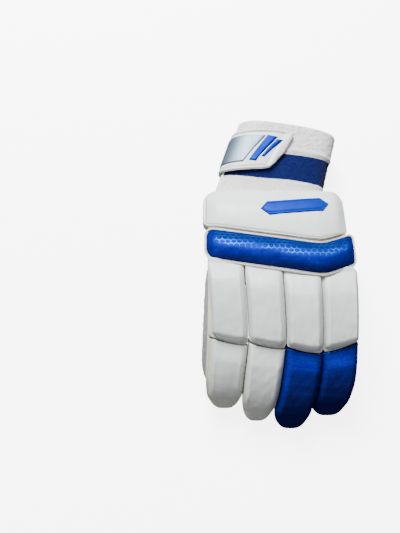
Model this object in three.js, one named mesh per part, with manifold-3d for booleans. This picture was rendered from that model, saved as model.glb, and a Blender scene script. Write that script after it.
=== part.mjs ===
// A padded cricket batting glove for the right hand, lying palm down with its thumb folded under.
// Millimetres, +Z up. X runs across the hand (the index finger at +X), Y runs along it: the fingers
// point to -Y and the cuff opens to +Y. The surface that the glove lies on is z = 0.
// While it is built, the knuckle line is y = 0; the whole group is centred at the end.

import * as THREE from "three";
import Module from "manifold-3d";

const wasm = await Module();
wasm.setup();

// Hand and fingers
const HAND_LENGTH = 80;
const HAND_HALF_WIDTH = 66.5;
const HAND_HALF_HEIGHT = 16;
const KNUCKLE_HEIGHT = 46.5;
const FINGER_PITCH = 34.9;
const FINGER_REACH = 134;
const STALL_HALF_WIDTH = 14.6;
const STALL_HALF_HEIGHT = 12;
const GUSSET_BULGE = 11;
const STALL_ROOT = 8;
const WALL = 1.6;
const CLEARANCE = 0.3;

// Padding
const FINGER_PAD = 17;
const TIP_PAD = 15;
const TIP_COVER = 6.5;
const PAD_SKIRT = 5;
const PAD_GAP = 0.8;
const PAD_FLANGE_SHARE = 0.62;
const OUTER_PAD_HALF = 16.7;
const LITTLE_FLANGE = 4;
const BAND_WIDTH = 29.3;
const BAND_PAD = 16;
const BAND_OVERHANG = 2.6;
const BAND_CORNER = 5.5;
const BAND_END_CORNER = 3;
const PIPING_WIDTH = 1.7;
const PIPING_DROP = 4;
const PANEL_PAD = 15.5;
const PANEL_OVERLAP = 5.5;
const PANEL_LEFT = 72.3;
const PANEL_RIGHT = 65.2;
const PANEL_CORNER = 12;
const PANEL_LOW_CORNER = 7;
const END_SLOPE = 14;
const END_START_SHARE = 0.25;

// Thumb
const THUMB_HALF_WIDTH = 13;
const THUMB_HALF_HEIGHT = 11;
const THUMB_PAD = 8;
const THUMB_PAD_HALF = 12.5;
const THUMB_ROLL = THREE.MathUtils.degToRad(38);

// Cuff and strap
const CUFF_LENGTH = 77;
const CUFF_LEAN = 23.8;
const CUFF_YAW = THREE.MathUtils.degToRad(-10);
const CUFF_ROOT_SHIFT = -8;
const CUFF_ROOT_HALF_WIDTH = 54;
const CUFF_MOUTH_HALF_WIDTH = 49;
const CUFF_ROOT_HALF_HEIGHT = 17.6;
const CUFF_MOUTH_HALF_HEIGHT = 22.5;
const CUFF_WALL = 3.2;
const HEM_RISE = 0.8;
const SLIT_WIDTH = 9;
const BINDING = 1.2;
const BINDING_WIDTH = 5;
const STRAP_THICKNESS = 2.2;
const PATCH_THICKNESS = 0.8;
const BAR_THICKNESS = 1.1;
const BADGE_THICKNESS = 1.2;
const BADGE_LENGTH = 66;
const BADGE_WIDTH = 15;
const BADGE_TURN = THREE.MathUtils.degToRad(5);
const BADGE_X_SHARE = 0.22;
const BADGE_Y_SHARE = 0.82;

// How far the parts that rest on the surface are pressed flat against it
const PRESS = 0.7;

// The same at the cuff's mouth, where the strap that rests there stands back from the very end
const CUFF_PRESS = 1.7;

// Number of points round each section
const HAND_SIDES = 24;
const STALL_SIDES = 12;
const CUFF_SIDES = 28;
const WRAP_STEP = 1 / 60;

// Where the sections lie, as shares of a body's length
const HAND_FRONT = -0.08;
const HAND_SECTIONS = [0.05, 0.28, 0.52, 0.76, 1];
const STALL_SECTIONS = [0.12, 0.3, 0.46, 0.62, 0.76];
const THUMB_SECTIONS = [0, 0.2, 0.35, 0.5, 0.65, 0.78];
const TIP_ROUNDING = [0.5, 0.2, 0.03];
const CORNER_STEPS = [0, 0.15, 0.5, 1];
const CUFF_PAST = 0.05;
const SLIT_SECTIONS = [0.08, 0.5, 1.1];
const BINDING_SECTIONS = [0.1, 0.4, 0.7, 0.985];
const HAND_POWER = 3;
const STALL_POWER = 2.6;
const CUFF_POWER = 3;

const WHITE = material(0xdfe2df, 0.55, 0);
const LEATHER = material(0xe4e3dc, 0.7, 0);
const CREAM = material(0xd8d6c6, 0.6, 0);
const MESH_GREY = material(0xc9cad6, 0.9, 0);
const BLUE = material(0x0b2c9c, 0.3, 0.4);
const TOWEL = material(0xdcdcda, 1, 0);
const SILVER = material(0xb4bdc2, 0.35, 0.6);

// The hand's sections, from the knuckles to the wrist: rise is a share of KNUCKLE_HEIGHT,
// width and shift are shares of HAND_HALF_WIDTH, height is a share of HAND_HALF_HEIGHT.
const handAt = track([
  { at: -0.08, rise: 1.0, width: 0.985, shift: 0.01, height: 0.86 },
  { at: 0.05, rise: 1.0, width: 1.0, shift: 0.008, height: 1.0 },
  { at: 0.36, rise: 0.915, width: 0.965, shift: -0.03, height: 1.0 },
  { at: 0.68, rise: 0.785, width: 0.915, shift: -0.068, height: 1.0 },
  { at: 1.0, rise: 0.624, width: 0.8, shift: -0.113, height: 1.0 },
]);

// The line over the knuckles, by the share of HAND_HALF_WIDTH across: mid is the band's middle as
// a share of HAND_LENGTH, crown is how full the hand's height is there.
const knucklesAt = track([
  { at: -1.09, mid: 0.383, crown: 0.6 },
  { at: -0.95, mid: 0.364, crown: 0.74 },
  { at: -0.445, mid: 0.291, crown: 0.96 },
  { at: 0.09, mid: 0.223, crown: 1.02 },
  { at: 0.5, mid: 0.176, crown: 1.0 },
  { at: 0.59, mid: 0.178, crown: 0.95 },
  { at: 0.775, mid: 0.226, crown: 0.76 },
  { at: 1.04, mid: 0.313, crown: 0.38 },
]);

// Each finger: its middle at the root, the joint, past the joint and the tip as shares of
// FINGER_PITCH, its reach as a share of FINGER_REACH, how far its root lies under the arch of the
// knuckles as a share of KNUCKLE_HEIGHT, the slope of its joint line across the finger, and the
// share of the reach where its two pads meet.
const FINGERS = [
  {
    name: "little",
    root: -1.473,
    joint: -1.364,
    bend: -1.44,
    tip: -1.444,
    reach: 0.86,
    sink: 0.04,
    slant: -0.2,
    fold: 0.462,
  },
  {
    name: "ring",
    root: -0.481,
    joint: -0.401,
    bend: -0.522,
    tip: -0.63,
    reach: 0.948,
    sink: 0,
    slant: -0.14,
    fold: 0.4575,
  },
  {
    name: "middle",
    root: 0.533,
    joint: 0.582,
    bend: 0.49,
    tip: 0.29,
    reach: 1,
    sink: 0,
    slant: -0.14,
    fold: 0.467,
  },
  {
    name: "index",
    root: 1.51,
    joint: 1.522,
    bend: 1.5,
    tip: 1.35,
    reach: 0.91,
    sink: 0.07,
    slant: 0.24,
    fold: 0.486,
  },
];

// Where the rows' joint column lies, as a share of the reach.
const JOINT_SHARE = 0.501;

// The fingers' drop from the knuckles to the surface, by the share of the reach.
const dropAt = track([
  { at: 0, rise: 1 },
  { at: 0.11, rise: 1 },
  { at: 0.3, rise: 0.885 },
  { at: 0.507, rise: 0.67 },
  { at: 0.71, rise: 0.37 },
  { at: 0.92, rise: 0.03 },
  { at: 1.06, rise: -0.02 },
]);

// The gusset beside the little finger, by the share of the reach, as a share of GUSSET_BULGE.
const gussetAt = track([
  { at: -0.1, bulge: 0.2 },
  { at: 0, bulge: 0.35 },
  { at: 0.22, bulge: 0.7 },
  { at: 0.5, bulge: 1 },
  { at: 0.71, bulge: 0.85 },
  { at: 0.86, bulge: 0.3 },
  { at: 0.97, bulge: 0 },
]);

// How far the little finger's pads spread over the gusset, as a share of LITTLE_FLANGE.
const flangeAt = track([
  { at: -0.1, spread: 0 },
  { at: 0.1, spread: 0.1 },
  { at: 0.3, spread: 0.7 },
  { at: 0.48, spread: 1 },
  { at: 0.75, spread: 0.8 },
  { at: 0.92, spread: 0.5 },
  { at: 1.05, spread: 0 },
]);

// A finger pad's section across: plateau is 0 on the flange and 1 on the padding. A negative
// plateau is the skirt under the flange.
const PAD_ACROSS = [
  { across: -1, plateau: -1 },
  { across: -1, plateau: 0 },
  { across: -0.88, plateau: 0.35 },
  { across: -0.76, plateau: 0.88 },
  { across: 0, plateau: 1.03 },
  { across: 0.74, plateau: 0.88 },
  { across: 0.86, plateau: 0.35 },
  { across: 1, plateau: 0 },
  { across: 1, plateau: -1 },
];
const UPPER_PAD_ALONG = [
  { at: 0, plateau: 0, half: 0.99 },
  { at: 0.08, plateau: 0.4, half: 1 },
  { at: 0.24, plateau: 0.95, half: 1 },
  { at: 0.5, plateau: 1.05, half: 1 },
  { at: 0.8, plateau: 1, half: 1 },
  { at: 0.9, plateau: 0.8, half: 1 },
  { at: 0.955, plateau: 0.3, half: 0.99 },
  { at: 1, plateau: 0, half: 0.93 },
];

// The tip pads: height and half are shares of the full section, skirt is how far the sides reach
// down as a share of STALL_HALF_HEIGHT.
const TIP_PAD_ALONG = [
  { at: 0, plateau: -0.1, half: 0.96, height: 1, skirt: 0.1 },
  { at: 0.07, plateau: 0.35, half: 1, height: 1, skirt: 0.15 },
  { at: 0.16, plateau: 0.85, half: 1, height: 1, skirt: 0.25 },
  { at: 0.35, plateau: 1, half: 1, height: 1, skirt: 0.45 },
  { at: 0.55, plateau: 1, half: 1, height: 0.96, skirt: 0.62 },
  { at: 0.7, plateau: 0.95, half: 0.99, height: 0.87, skirt: 0.72 },
  { at: 0.82, plateau: 0.8, half: 0.94, height: 0.72, skirt: 0.74 },
  { at: 0.91, plateau: 0.6, half: 0.85, height: 0.53, skirt: 0.66 },
  { at: 0.97, plateau: 0.4, half: 0.66, height: 0.32, skirt: 0.45 },
  { at: 1, plateau: 0.2, half: 0.38, height: 0.14, skirt: 0.2 },
];
const TIP_MIDDLE_SHARE = 0.3;

// How high the middle of a stall's end lies, as a share of STALL_HALF_HEIGHT.
const TIP_SETTLE_SHARE = 0.82;

// Over what share of the reach the joint's slant fades out.
const SLANT_FADE_SHARE = 0.3;

// The band's and the panel's sections along the hand, from their lower to their upper edge.
const BAND_ACROSS = [
  { across: -1, plateau: -1 },
  { across: -1, plateau: 0 },
  { across: -0.86, plateau: 0.5 },
  { across: -0.55, plateau: 0.9 },
  { across: 0, plateau: 1 },
  { across: 0.55, plateau: 0.9 },
  { across: 0.86, plateau: 0.5 },
  { across: 1, plateau: 0 },
  { across: 1, plateau: -1 },
];
const PANEL_ACROSS = [
  { across: -1, plateau: -1 },
  { across: -1, plateau: 0 },
  { across: -0.93, plateau: 0.5 },
  { across: -0.8, plateau: 0.85 },
  { across: -0.4, plateau: 1 },
  { across: 0.2, plateau: 1 },
  { across: 0.6, plateau: 0.88 },
  { across: 0.85, plateau: 0.6 },
  { across: 0.96, plateau: 0.3 },
  { across: 1, plateau: 0 },
  { across: 1, plateau: -1 },
];
const BAND_FLANGE_SHARE = 0.58;
const PANEL_FLANGE_SHARE = 0.55;
const SIDE_HANG_SHARE = 0.15;

// The thumb's middle line: x as a share of HAND_HALF_WIDTH, y of HAND_LENGTH, z of KNUCKLE_HEIGHT.
const THUMB_LINE = [
  { x: 0.56, y: 0.58, z: 0.84 },
  { x: 0.63, y: 0.34, z: 0.6 },
  { x: 0.64, y: 0.06, z: 0.42 },
  { x: 0.55, y: -0.2, z: 0.33 },
  { x: 0.38, y: -0.46, z: 0.29 },
];

// The strap round the cuff, from under the wrist to its end on the back. Turns are shares of a
// full turn, low and high are shares of CUFF_LENGTH.
const STRAP = [
  { lowTurn: 0.75, highTurn: 0.75, low: 0.36, high: 0.83 },
  { lowTurn: 0.68, highTurn: 0.68, low: 0.36, high: 0.83 },
  { lowTurn: 0.62, highTurn: 0.62, low: 0.36, high: 0.83 },
  { lowTurn: 0.56, highTurn: 0.56, low: 0.36, high: 0.83 },
  { lowTurn: 0.5, highTurn: 0.5, low: 0.352, high: 0.832 },
  { lowTurn: 0.45, highTurn: 0.45, low: 0.34, high: 0.836 },
  { lowTurn: 0.4, highTurn: 0.4, low: 0.336, high: 0.845 },
  { lowTurn: 0.34, highTurn: 0.34, low: 0.342, high: 0.86 },
  { lowTurn: 0.29, highTurn: 0.285, low: 0.355, high: 0.878 },
  { lowTurn: 0.265, highTurn: 0.252, low: 0.37, high: 0.88 },
  { lowTurn: 0.256, highTurn: 0.245, low: 0.4, high: 0.86 },
  { lowTurn: 0.252, highTurn: 0.243, low: 0.46, high: 0.81 },
];
const PATCH = [
  { lowTurn: 0.54, highTurn: 0.54, low: 0.425, high: 0.755 },
  { lowTurn: 0.47, highTurn: 0.47, low: 0.42, high: 0.76 },
  { lowTurn: 0.42, highTurn: 0.41, low: 0.42, high: 0.765 },
  { lowTurn: 0.37, highTurn: 0.34, low: 0.43, high: 0.78 },
  { lowTurn: 0.33, highTurn: 0.285, low: 0.44, high: 0.79 },
];
const BARS = [
  { lowTurn: 0.302, highTurn: 0.27, low: 0.455, high: 0.79, width: 0.011 },
  { lowTurn: 0.277, highTurn: 0.255, low: 0.51, high: 0.75, width: 0.004 },
];

// The thumb's two pads, as shares of its line. Half and height are shares of the full section.
const THUMB_PAD_BASE = {
  from: 0.36,
  to: 0.64,
  rows: [
    { at: 0, plateau: 0, half: 0.9, height: 1 },
    { at: 0.12, plateau: 0.7, half: 1, height: 1 },
    { at: 0.45, plateau: 1, half: 1, height: 1 },
    { at: 0.8, plateau: 0.8, half: 1, height: 1 },
    { at: 1, plateau: 0, half: 0.9, height: 1 },
  ],
};
const THUMB_PAD_TIP = {
  from: 0.65,
  to: 1,
  rows: [
    { at: 0, plateau: 0, half: 0.9, height: 1 },
    { at: 0.12, plateau: 0.7, half: 1, height: 1 },
    { at: 0.45, plateau: 1, half: 1, height: 1 },
    { at: 0.8, plateau: 0.8, half: 0.85, height: 0.85 },
    { at: 1, plateau: 0, half: 0.5, height: 0.5 },
  ],
};

function material(color, roughness, metalness) {
  return new THREE.MeshStandardMaterial({ color, roughness, metalness });
}

// A smooth curve through a table's rows: gives every column at a place between them.
function track(rows) {
  const columns = Object.keys(rows[0]).filter((key) => key !== "at");
  const places = rows.map((row) => row.at);
  const values = rows.flatMap((row) => columns.map((key) => row[key]));
  const buffer = new Float64Array(columns.length);
  const curve = new THREE.CubicInterpolant(places, values, columns.length, buffer);
  return (at) => {
    const found = curve.evaluate(at);
    return Object.fromEntries(columns.map((key, i) => [key, found[i]]));
  };
}

function mix(from, to, share) {
  return from + (to - from) * share;
}

// A closed body from corner points and triangles, turned so that its faces look outward.
function solid(points, faces) {
  const corner = (i) => points[faces[i]];
  let volume = 0;
  for (let i = 0; i < faces.length; i += 3) {
    volume += corner(i).dot(corner(i + 1).clone().cross(corner(i + 2)));
  }
  const turned = faces.slice();
  if (volume < 0) {
    turned.reverse();
  }
  const vertProperties = new Float32Array(points.flatMap((p) => p.toArray()));
  const triVerts = new Uint32Array(turned);
  return new wasm.Manifold(new wasm.Mesh({ numProp: 3, vertProperties, triVerts }));
}

// A body through rings of equal numbers of points, with both ends closed.
function loft(rings) {
  const sides = rings[0].length;
  const points = rings.flat();
  const faces = [];
  const next = (i) => (i + 1) % sides;
  for (let k = 0; k + 1 < rings.length; k += 1) {
    for (let i = 0; i < sides; i += 1) {
      const a = k * sides + i;
      const b = k * sides + next(i);
      faces.push(a, b, a + sides, b, b + sides, a + sides);
    }
  }
  const middleOf = (ring) => {
    const sum = ring.reduce((total, p) => total.add(p), new THREE.Vector3());
    return sum.divideScalar(ring.length);
  };
  const start = points.push(middleOf(rings[0])) - 1;
  const end = points.push(middleOf(rings.at(-1))) - 1;
  const last = (rings.length - 1) * sides;
  for (let i = 0; i < sides; i += 1) {
    faces.push(start, next(i), i, end, last + i, last + next(i));
  }
  return solid(points, faces);
}

function union(bodies) {
  return bodies.reduce((whole, body) => whole.add(body));
}

function bodyOf(geometry) {
  const points = [];
  const place = geometry.getAttribute("position");
  const seen = new Map();
  const numberOf = (i) => {
    const point = new THREE.Vector3().fromBufferAttribute(place, i);
    const key = point.toArray().map((value) => value.toFixed(4)).join();
    if (!seen.has(key)) {
      seen.set(key, points.push(point) - 1);
    }
    return seen.get(key);
  };
  const corners = geometry.index ? Array.from(geometry.index.array) : [...Array(place.count).keys()];
  return solid(points, corners.map(numberOf));
}

// A rounded section: a superellipse whose left half can be wider than its right.
function oval(centre, across, up, size) {
  const { halfWidth, halfHeight, power, sides, leftBulge = 0 } = size;
  const spread = (value) => Math.sign(value) * Math.abs(value) ** (2 / power);
  return Array.from({ length: sides }, (_, i) => {
    const angle = (2 * Math.PI * (i + 0.5)) / sides;
    const side = Math.cos(angle);
    const width = side < 0 ? halfWidth + leftBulge : halfWidth;
    return centre
      .clone()
      .addScaledVector(across, width * spread(side))
      .addScaledVector(up, halfHeight * spread(Math.sin(angle)));
  });
}

const X_AXIS = new THREE.Vector3(1, 0, 0);
const Z_AXIS = new THREE.Vector3(0, 0, 1);

// The height of the hand's middle at a place along it.
function handHeight(y) {
  return KNUCKLE_HEIGHT * handAt(y / HAND_LENGTH).rise;
}

function handRing(share, grow) {
  const row = handAt(share);
  const centre = new THREE.Vector3(
    HAND_HALF_WIDTH * row.shift,
    HAND_LENGTH * share,
    KNUCKLE_HEIGHT * row.rise,
  );
  return oval(centre, X_AXIS, Z_AXIS, {
    halfWidth: HAND_HALF_WIDTH * row.width + grow,
    halfHeight: HAND_HALF_HEIGHT * row.height + grow,
    power: HAND_POWER,
    sides: HAND_SIDES,
  });
}

function handBody(grow, endShift = 0) {
  const front = HAND_FRONT - grow / HAND_LENGTH;
  const rings = [front, ...HAND_SECTIONS].map((share) => handRing(share, grow));
  if (endShift > 0) {
    rings.push(rings.at(-1).map((p) => p.clone().add(new THREE.Vector3(0, endShift, 0))));
  }
  return loft(rings);
}

// One finger: where its middle line runs.
class Finger {
  constructor(row) {
    this.row = row;
    this.reach = FINGER_REACH * row.reach;
    this.middle = track([
      { at: 0, x: row.root },
      { at: JOINT_SHARE, x: row.joint },
      { at: 0.8, x: row.bend },
      { at: 1, x: row.tip },
    ]);
  }

  centreX(y) {
    return FINGER_PITCH * this.middle(-y / this.reach).x;
  }

  height(share) {
    const low = STALL_HALF_HEIGHT * TIP_SETTLE_SHARE - PRESS;
    const top = KNUCKLE_HEIGHT * (1 - this.row.sink);
    return mix(low, top, dropAt(share).rise);
  }

  // The place on the middle line, and the direction away from the palm there.
  spot(share) {
    const step = 0.01;
    const y = -share * this.reach;
    const slope = (this.height(share + step) - this.height(share - step)) / (2 * step * this.reach);
    const point = new THREE.Vector3(this.centreX(y), y, this.height(share));
    const up = new THREE.Vector3(0, slope, 1).normalize();
    return { point, up };
  }
}

const fingers = FINGERS.map((row) => new Finger(row));

// How round the stall's end is, by the distance from its end.
function endRound(distance, radius) {
  const inside = THREE.MathUtils.clamp(1 - distance / radius, 0, 1);
  return Math.sqrt(1 - inside ** 2);
}

function stallBody(finger, grow) {
  const from = -STALL_ROOT / finger.reach;
  const end = 1 + grow / finger.reach;
  const round = (STALL_HALF_WIDTH + grow) / finger.reach;
  const shares = [from, ...STALL_SECTIONS, end - round];
  const rounding = TIP_ROUNDING.map((share) => end - round * share);
  const rings = [...shares, ...rounding].map((share) => {
    const { point, up } = finger.spot(share);
    const size = endRound(end - share, round);
    const bulge = finger.row.name === "little" ? GUSSET_BULGE * gussetAt(share).bulge : 0;
    return oval(point, X_AXIS, up, {
      halfWidth: (STALL_HALF_WIDTH + grow) * size,
      halfHeight: (STALL_HALF_HEIGHT + grow) * size,
      power: STALL_POWER,
      sides: STALL_SIDES,
      leftBulge: bulge * size,
    });
  });
  return loft(rings);
}

// The thumb's middle line, folded under the palm.
const thumbLine = new THREE.CatmullRomCurve3(
  THUMB_LINE.map(
    (row) => new THREE.Vector3(row.x * HAND_HALF_WIDTH, row.y * HAND_LENGTH, row.z * KNUCKLE_HEIGHT),
  ),
);

function thumbFrame(share) {
  const point = thumbLine.getPoint(share);
  const along = thumbLine.getTangent(share);
  const side = new THREE.Vector3().crossVectors(Z_AXIS, along).normalize();
  const up = new THREE.Vector3().crossVectors(along, side).normalize();
  const out = side.clone().multiplyScalar(Math.cos(THUMB_ROLL)).addScaledVector(up, -Math.sin(THUMB_ROLL));
  const across = new THREE.Vector3().crossVectors(along, out).normalize();
  return { point, side, up, out, across };
}

function thumbBody(grow) {
  const length = thumbLine.getLength();
  const round = (THUMB_HALF_WIDTH + grow) / length;
  const end = 1 + grow / length;
  const shares = [...THUMB_SECTIONS, end - round];
  const rounding = TIP_ROUNDING.map((share) => end - round * share);
  const rings = [...shares, ...rounding].map((share) => {
    const { point, side, up } = thumbFrame(Math.min(share, 1));
    const size = endRound(end - share, round);
    return oval(point, side, up, {
      halfWidth: (THUMB_HALF_WIDTH + grow) * size,
      halfHeight: (THUMB_HALF_HEIGHT + grow) * size,
      power: STALL_POWER,
      sides: STALL_SIDES,
    });
  });
  return loft(rings);
}

// The hand and its four stalls as one body. Past is how far it runs on beyond the wrist.
function gloveBody(grow, past = 0) {
  return union([handBody(grow, past), ...fingers.map((finger) => stallBody(finger, grow))]);
}

// Everything above the seam between the palm side and the back, moved down by lower.
function backSide(lower) {
  const tall = 2 * KNUCKLE_HEIGHT;
  const block = (point, up, left, right) => [
    point.clone().setX(left).addScaledVector(up, -lower),
    point.clone().setX(right).addScaledVector(up, -lower),
    point.clone().setX(right).addScaledVector(up, tall),
    point.clone().setX(left).addScaledVector(up, tall),
  ];
  const handBlock = loft(
    [1.5 * HAND_FRONT, ...HAND_SECTIONS.slice(0, -1), 1.1].map((share) => {
      const point = new THREE.Vector3(0, HAND_LENGTH * share, handHeight(HAND_LENGTH * share));
      return block(point, Z_AXIS, -2 * HAND_HALF_WIDTH, 2 * HAND_HALF_WIDTH);
    }),
  );
  const stallBlocks = fingers.map((finger, i) =>
    loft(
      [0.06 - lower / finger.reach, ...STALL_SECTIONS, 0.88, 1.06].map((share) => {
        const { point, up } = finger.spot(share);
        const { left, right } = lane(i, point.y);
        const room = PAD_GAP / 2 + lower + (i === 0 ? GUSSET_BULGE : 0);
        return block(point, up, left - room, right + PAD_GAP / 2 + lower);
      }),
    ),
  );
  return union([handBlock, ...stallBlocks]);
}

// The strip that one finger's pads fill at a place along the hand.
function lane(number, y) {
  const centre = fingers[number].centreX(y);
  const border = (other, side) => {
    const neighbour = fingers[other];
    if (!neighbour) {
      const spread = number === 0 ? LITTLE_FLANGE * flangeAt(-y / fingers[number].reach).spread : 0;
      return centre + side * (OUTER_PAD_HALF + spread);
    }
    return (centre + neighbour.centreX(y)) / 2 - (side * PAD_GAP) / 2;
  };
  return { left: border(number - 1, -1), right: border(number + 1, 1) };
}

// A ring of a finger pad's points. Near the joint its line slants across the finger.
function padRing(number, share, half, heightOf) {
  const finger = fingers[number];
  const slant = (finger.row.slant * FINGER_PITCH) / 2 / finger.reach;
  const near = Math.max(0, 1 - Math.abs(share - finger.row.fold) / SLANT_FADE_SHARE);
  return PAD_ACROSS.map(({ across, plateau }) => {
    const { point, up } = finger.spot(share - slant * near * across);
    const place = point.addScaledVector(up, heightOf(plateau));
    const { left, right } = lane(number, place.y);
    return place.setX((left + right) / 2 + (across * half * (right - left)) / 2);
  });
}

// The height of a padded surface over its base: the flange, with the padding standing on it.
function padHeight(thickness, flange, plateau, alongPlateau, skirt) {
  if (plateau === -1) {
    return -skirt;
  }
  if (plateau < 0) {
    return thickness * flange * (1 + plateau);
  }
  return thickness * (flange + (1 - flange) * plateau * alongPlateau);
}

function upperPad(number) {
  const finger = fingers[number];
  const from = -bandLow(finger.centreX(0)) / finger.reach;
  const to = finger.row.fold - PAD_GAP / finger.reach / 2;
  const rings = UPPER_PAD_ALONG.map((row) => {
    const heightOf = (plateau) =>
      STALL_HALF_HEIGHT + padHeight(FINGER_PAD, PAD_FLANGE_SHARE, plateau, row.plateau, PAD_SKIRT);
    return padRing(number, mix(from, to, row.at), row.half, heightOf);
  });
  const tuck = PAD_SKIRT / finger.reach;
  const hidden = padRing(number, from - tuck, UPPER_PAD_ALONG[0].half, (plateau) =>
    STALL_HALF_HEIGHT + padHeight(FINGER_PAD, PAD_FLANGE_SHARE, plateau, 0, PAD_SKIRT),
  );
  return loft([hidden, ...rings]);
}

function tipPad(number) {
  const finger = fingers[number];
  const from = finger.row.fold + PAD_GAP / finger.reach / 2;
  const to = 1 + TIP_COVER / finger.reach;
  const middle = STALL_HALF_HEIGHT * TIP_MIDDLE_SHARE;
  const rings = TIP_PAD_ALONG.map((row) => {
    const skirt = STALL_HALF_HEIGHT * (1 + row.skirt);
    const heightOf = (plateau) => {
      if (plateau === -1) {
        return mix(middle, STALL_HALF_HEIGHT - skirt, Math.max(row.height, row.half));
      }
      const full = STALL_HALF_HEIGHT + padHeight(TIP_PAD, PAD_FLANGE_SHARE, plateau, row.plateau, 0);
      return mix(middle, full, row.height);
    };
    return padRing(number, mix(from, to, row.at), row.half, heightOf);
  });
  return loft(rings);
}

// The band's lower edge at a place across the hand, with its piping.
function bandLow(x) {
  const middle = HAND_LENGTH * knucklesAt(x / HAND_HALF_WIDTH).mid;
  return middle - BAND_WIDTH / 2 - PIPING_WIDTH - 2 * CLEARANCE;
}

// A cushion that lies across the hand between two edges, each given at every place across.
function crossCushion(shape, outset, lower = 0) {
  const { left, right, corners, ends, table, flange, thickness, edges } = shape;
  const from = -left - outset;
  const to = right + outset;
  const leftRound = Math.max(corners.leftLow, corners.leftHigh) + outset;
  const rightRound = Math.max(corners.rightLow, corners.rightHigh) + outset;
  const places = [
    ...CORNER_STEPS.map((share) => from + share * leftRound),
    ...ends.map((share) => share * HAND_HALF_WIDTH),
    ...CORNER_STEPS.map((share) => to - share * rightRound).reverse(),
  ];
  const rings = places.map((x) => {
    const onLeft = x < 0;
    const fromEnd = onLeft ? x - from : to - x;
    const missing = (corner) => {
      const round = corner + outset;
      return round - Math.sqrt(round ** 2 - Math.max(round - fromEnd, 0) ** 2);
    };
    const { low, high } = edges(x);
    const bottom = low - outset + missing(onLeft ? corners.leftLow : corners.rightLow);
    const top = high + outset - missing(onLeft ? corners.leftHigh : corners.rightHigh);
    const { crown } = knucklesAt(x / HAND_HALF_WIDTH);
    const full = Math.min(1, END_START_SHARE + fromEnd / END_SLOPE);
    return table.map(({ across, plateau }) => {
      const y = mix(bottom, top, (across + 1) / 2);
      const base = handHeight(y);
      if (plateau === -1) {
        return new THREE.Vector3(x, y, base + HAND_HALF_HEIGHT * SIDE_HANG_SHARE);
      }
      const rise = padHeight(thickness, flange, plateau, full, 0) + outset - lower;
      return new THREE.Vector3(x, y, base + HAND_HALF_HEIGHT * crown + rise);
    });
  });
  return loft(rings);
}

const BAND = {
  left: HAND_HALF_WIDTH + BAND_OVERHANG,
  right: HAND_HALF_WIDTH + BAND_OVERHANG,
  corners: {
    leftLow: BAND_CORNER,
    leftHigh: BAND_CORNER,
    rightLow: BAND_END_CORNER,
    rightHigh: BAND_END_CORNER,
  },
  ends: [-0.75, -0.45, -0.1, 0.25, 0.45, 0.55, 0.68, 0.82],
  table: BAND_ACROSS,
  flange: BAND_FLANGE_SHARE,
  thickness: BAND_PAD,
  edges: (x) => {
    const middle = HAND_LENGTH * knucklesAt(x / HAND_HALF_WIDTH).mid;
    return { low: middle - BAND_WIDTH / 2, high: middle + BAND_WIDTH / 2 };
  },
};

const PANEL = {
  left: PANEL_LEFT,
  right: PANEL_RIGHT,
  corners: {
    leftLow: PANEL_LOW_CORNER,
    leftHigh: PANEL_CORNER,
    rightLow: PANEL_LOW_CORNER,
    rightHigh: PANEL_CORNER,
  },
  ends: [-0.7, -0.45, -0.1, 0.25, 0.45, 0.55, 0.68],
  table: PANEL_ACROSS,
  flange: PANEL_FLANGE_SHARE,
  thickness: PANEL_PAD,
  edges: (x) => {
    const low = BAND.edges(x).high + PIPING_WIDTH + 2 * CLEARANCE;
    return { low, high: HAND_LENGTH + PANEL_OVERLAP };
  },
};

// The cuff's middle, width, height and heading at a share of its length.
function cuffFrame(share) {
  const yaw = CUFF_YAW * share;
  const centre = new THREE.Vector3(
    CUFF_ROOT_SHIFT + CUFF_LEAN * share,
    HAND_LENGTH + CLEARANCE + CUFF_LENGTH * share,
    mix(
      handHeight(HAND_LENGTH),
      CUFF_MOUTH_HALF_HEIGHT + STRAP_INNER + STRAP_THICKNESS - CUFF_PRESS,
      share,
    ),
  );
  return {
    centre,
    across: new THREE.Vector3(Math.cos(yaw), Math.sin(yaw), 0),
    halfWidth: mix(CUFF_ROOT_HALF_WIDTH, CUFF_MOUTH_HALF_WIDTH, share),
    halfHeight: mix(CUFF_ROOT_HALF_HEIGHT, CUFF_MOUTH_HALF_HEIGHT, share),
  };
}

// A place on the cuff: turn goes round it from +X over the top, offset stands out from its surface.
function cuffPoint(turn, share, offset) {
  const { centre, across, halfWidth, halfHeight } = cuffFrame(share);
  const angle = 2 * Math.PI * turn;
  const spread = (value) => Math.sign(value) * Math.abs(value) ** (2 / CUFF_POWER);
  return centre
    .clone()
    .addScaledVector(across, (halfWidth + offset) * spread(Math.cos(angle)))
    .addScaledVector(Z_AXIS, (halfHeight + offset) * spread(Math.sin(angle)));
}

const BINDING_OUTER = HEM_RISE + CLEARANCE + BINDING;
const STRAP_INNER = BINDING_OUTER + CLEARANCE;
const STRAP_OUTER = STRAP_INNER + STRAP_THICKNESS;
const HEM_SHARE = 0.63;
const HEM_RAMP_SHARE = 0.02;

function cuffRing(share, offset) {
  return Array.from({ length: CUFF_SIDES }, (_, i) => cuffPoint((i + 0.5) / CUFF_SIDES, share, offset));
}

function cuffOuter(grow) {
  const more = grow / CUFF_LENGTH;
  return loft([
    cuffRing(-more, grow),
    cuffRing(HEM_SHARE - more, grow),
    cuffRing(HEM_SHARE + HEM_RAMP_SHARE - more, HEM_RISE + grow),
    cuffRing(1 + more, HEM_RISE + grow),
  ]);
}

function cuffBody(grow) {
  const past = CUFF_PAST + grow / CUFF_LENGTH;
  const inner = loft([-past, HEM_SHARE, 1 + past].map((share) => cuffRing(share, -CUFF_WALL - grow)));
  return cuffOuter(grow).subtract(inner).subtract(slitBody(grow));
}

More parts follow.
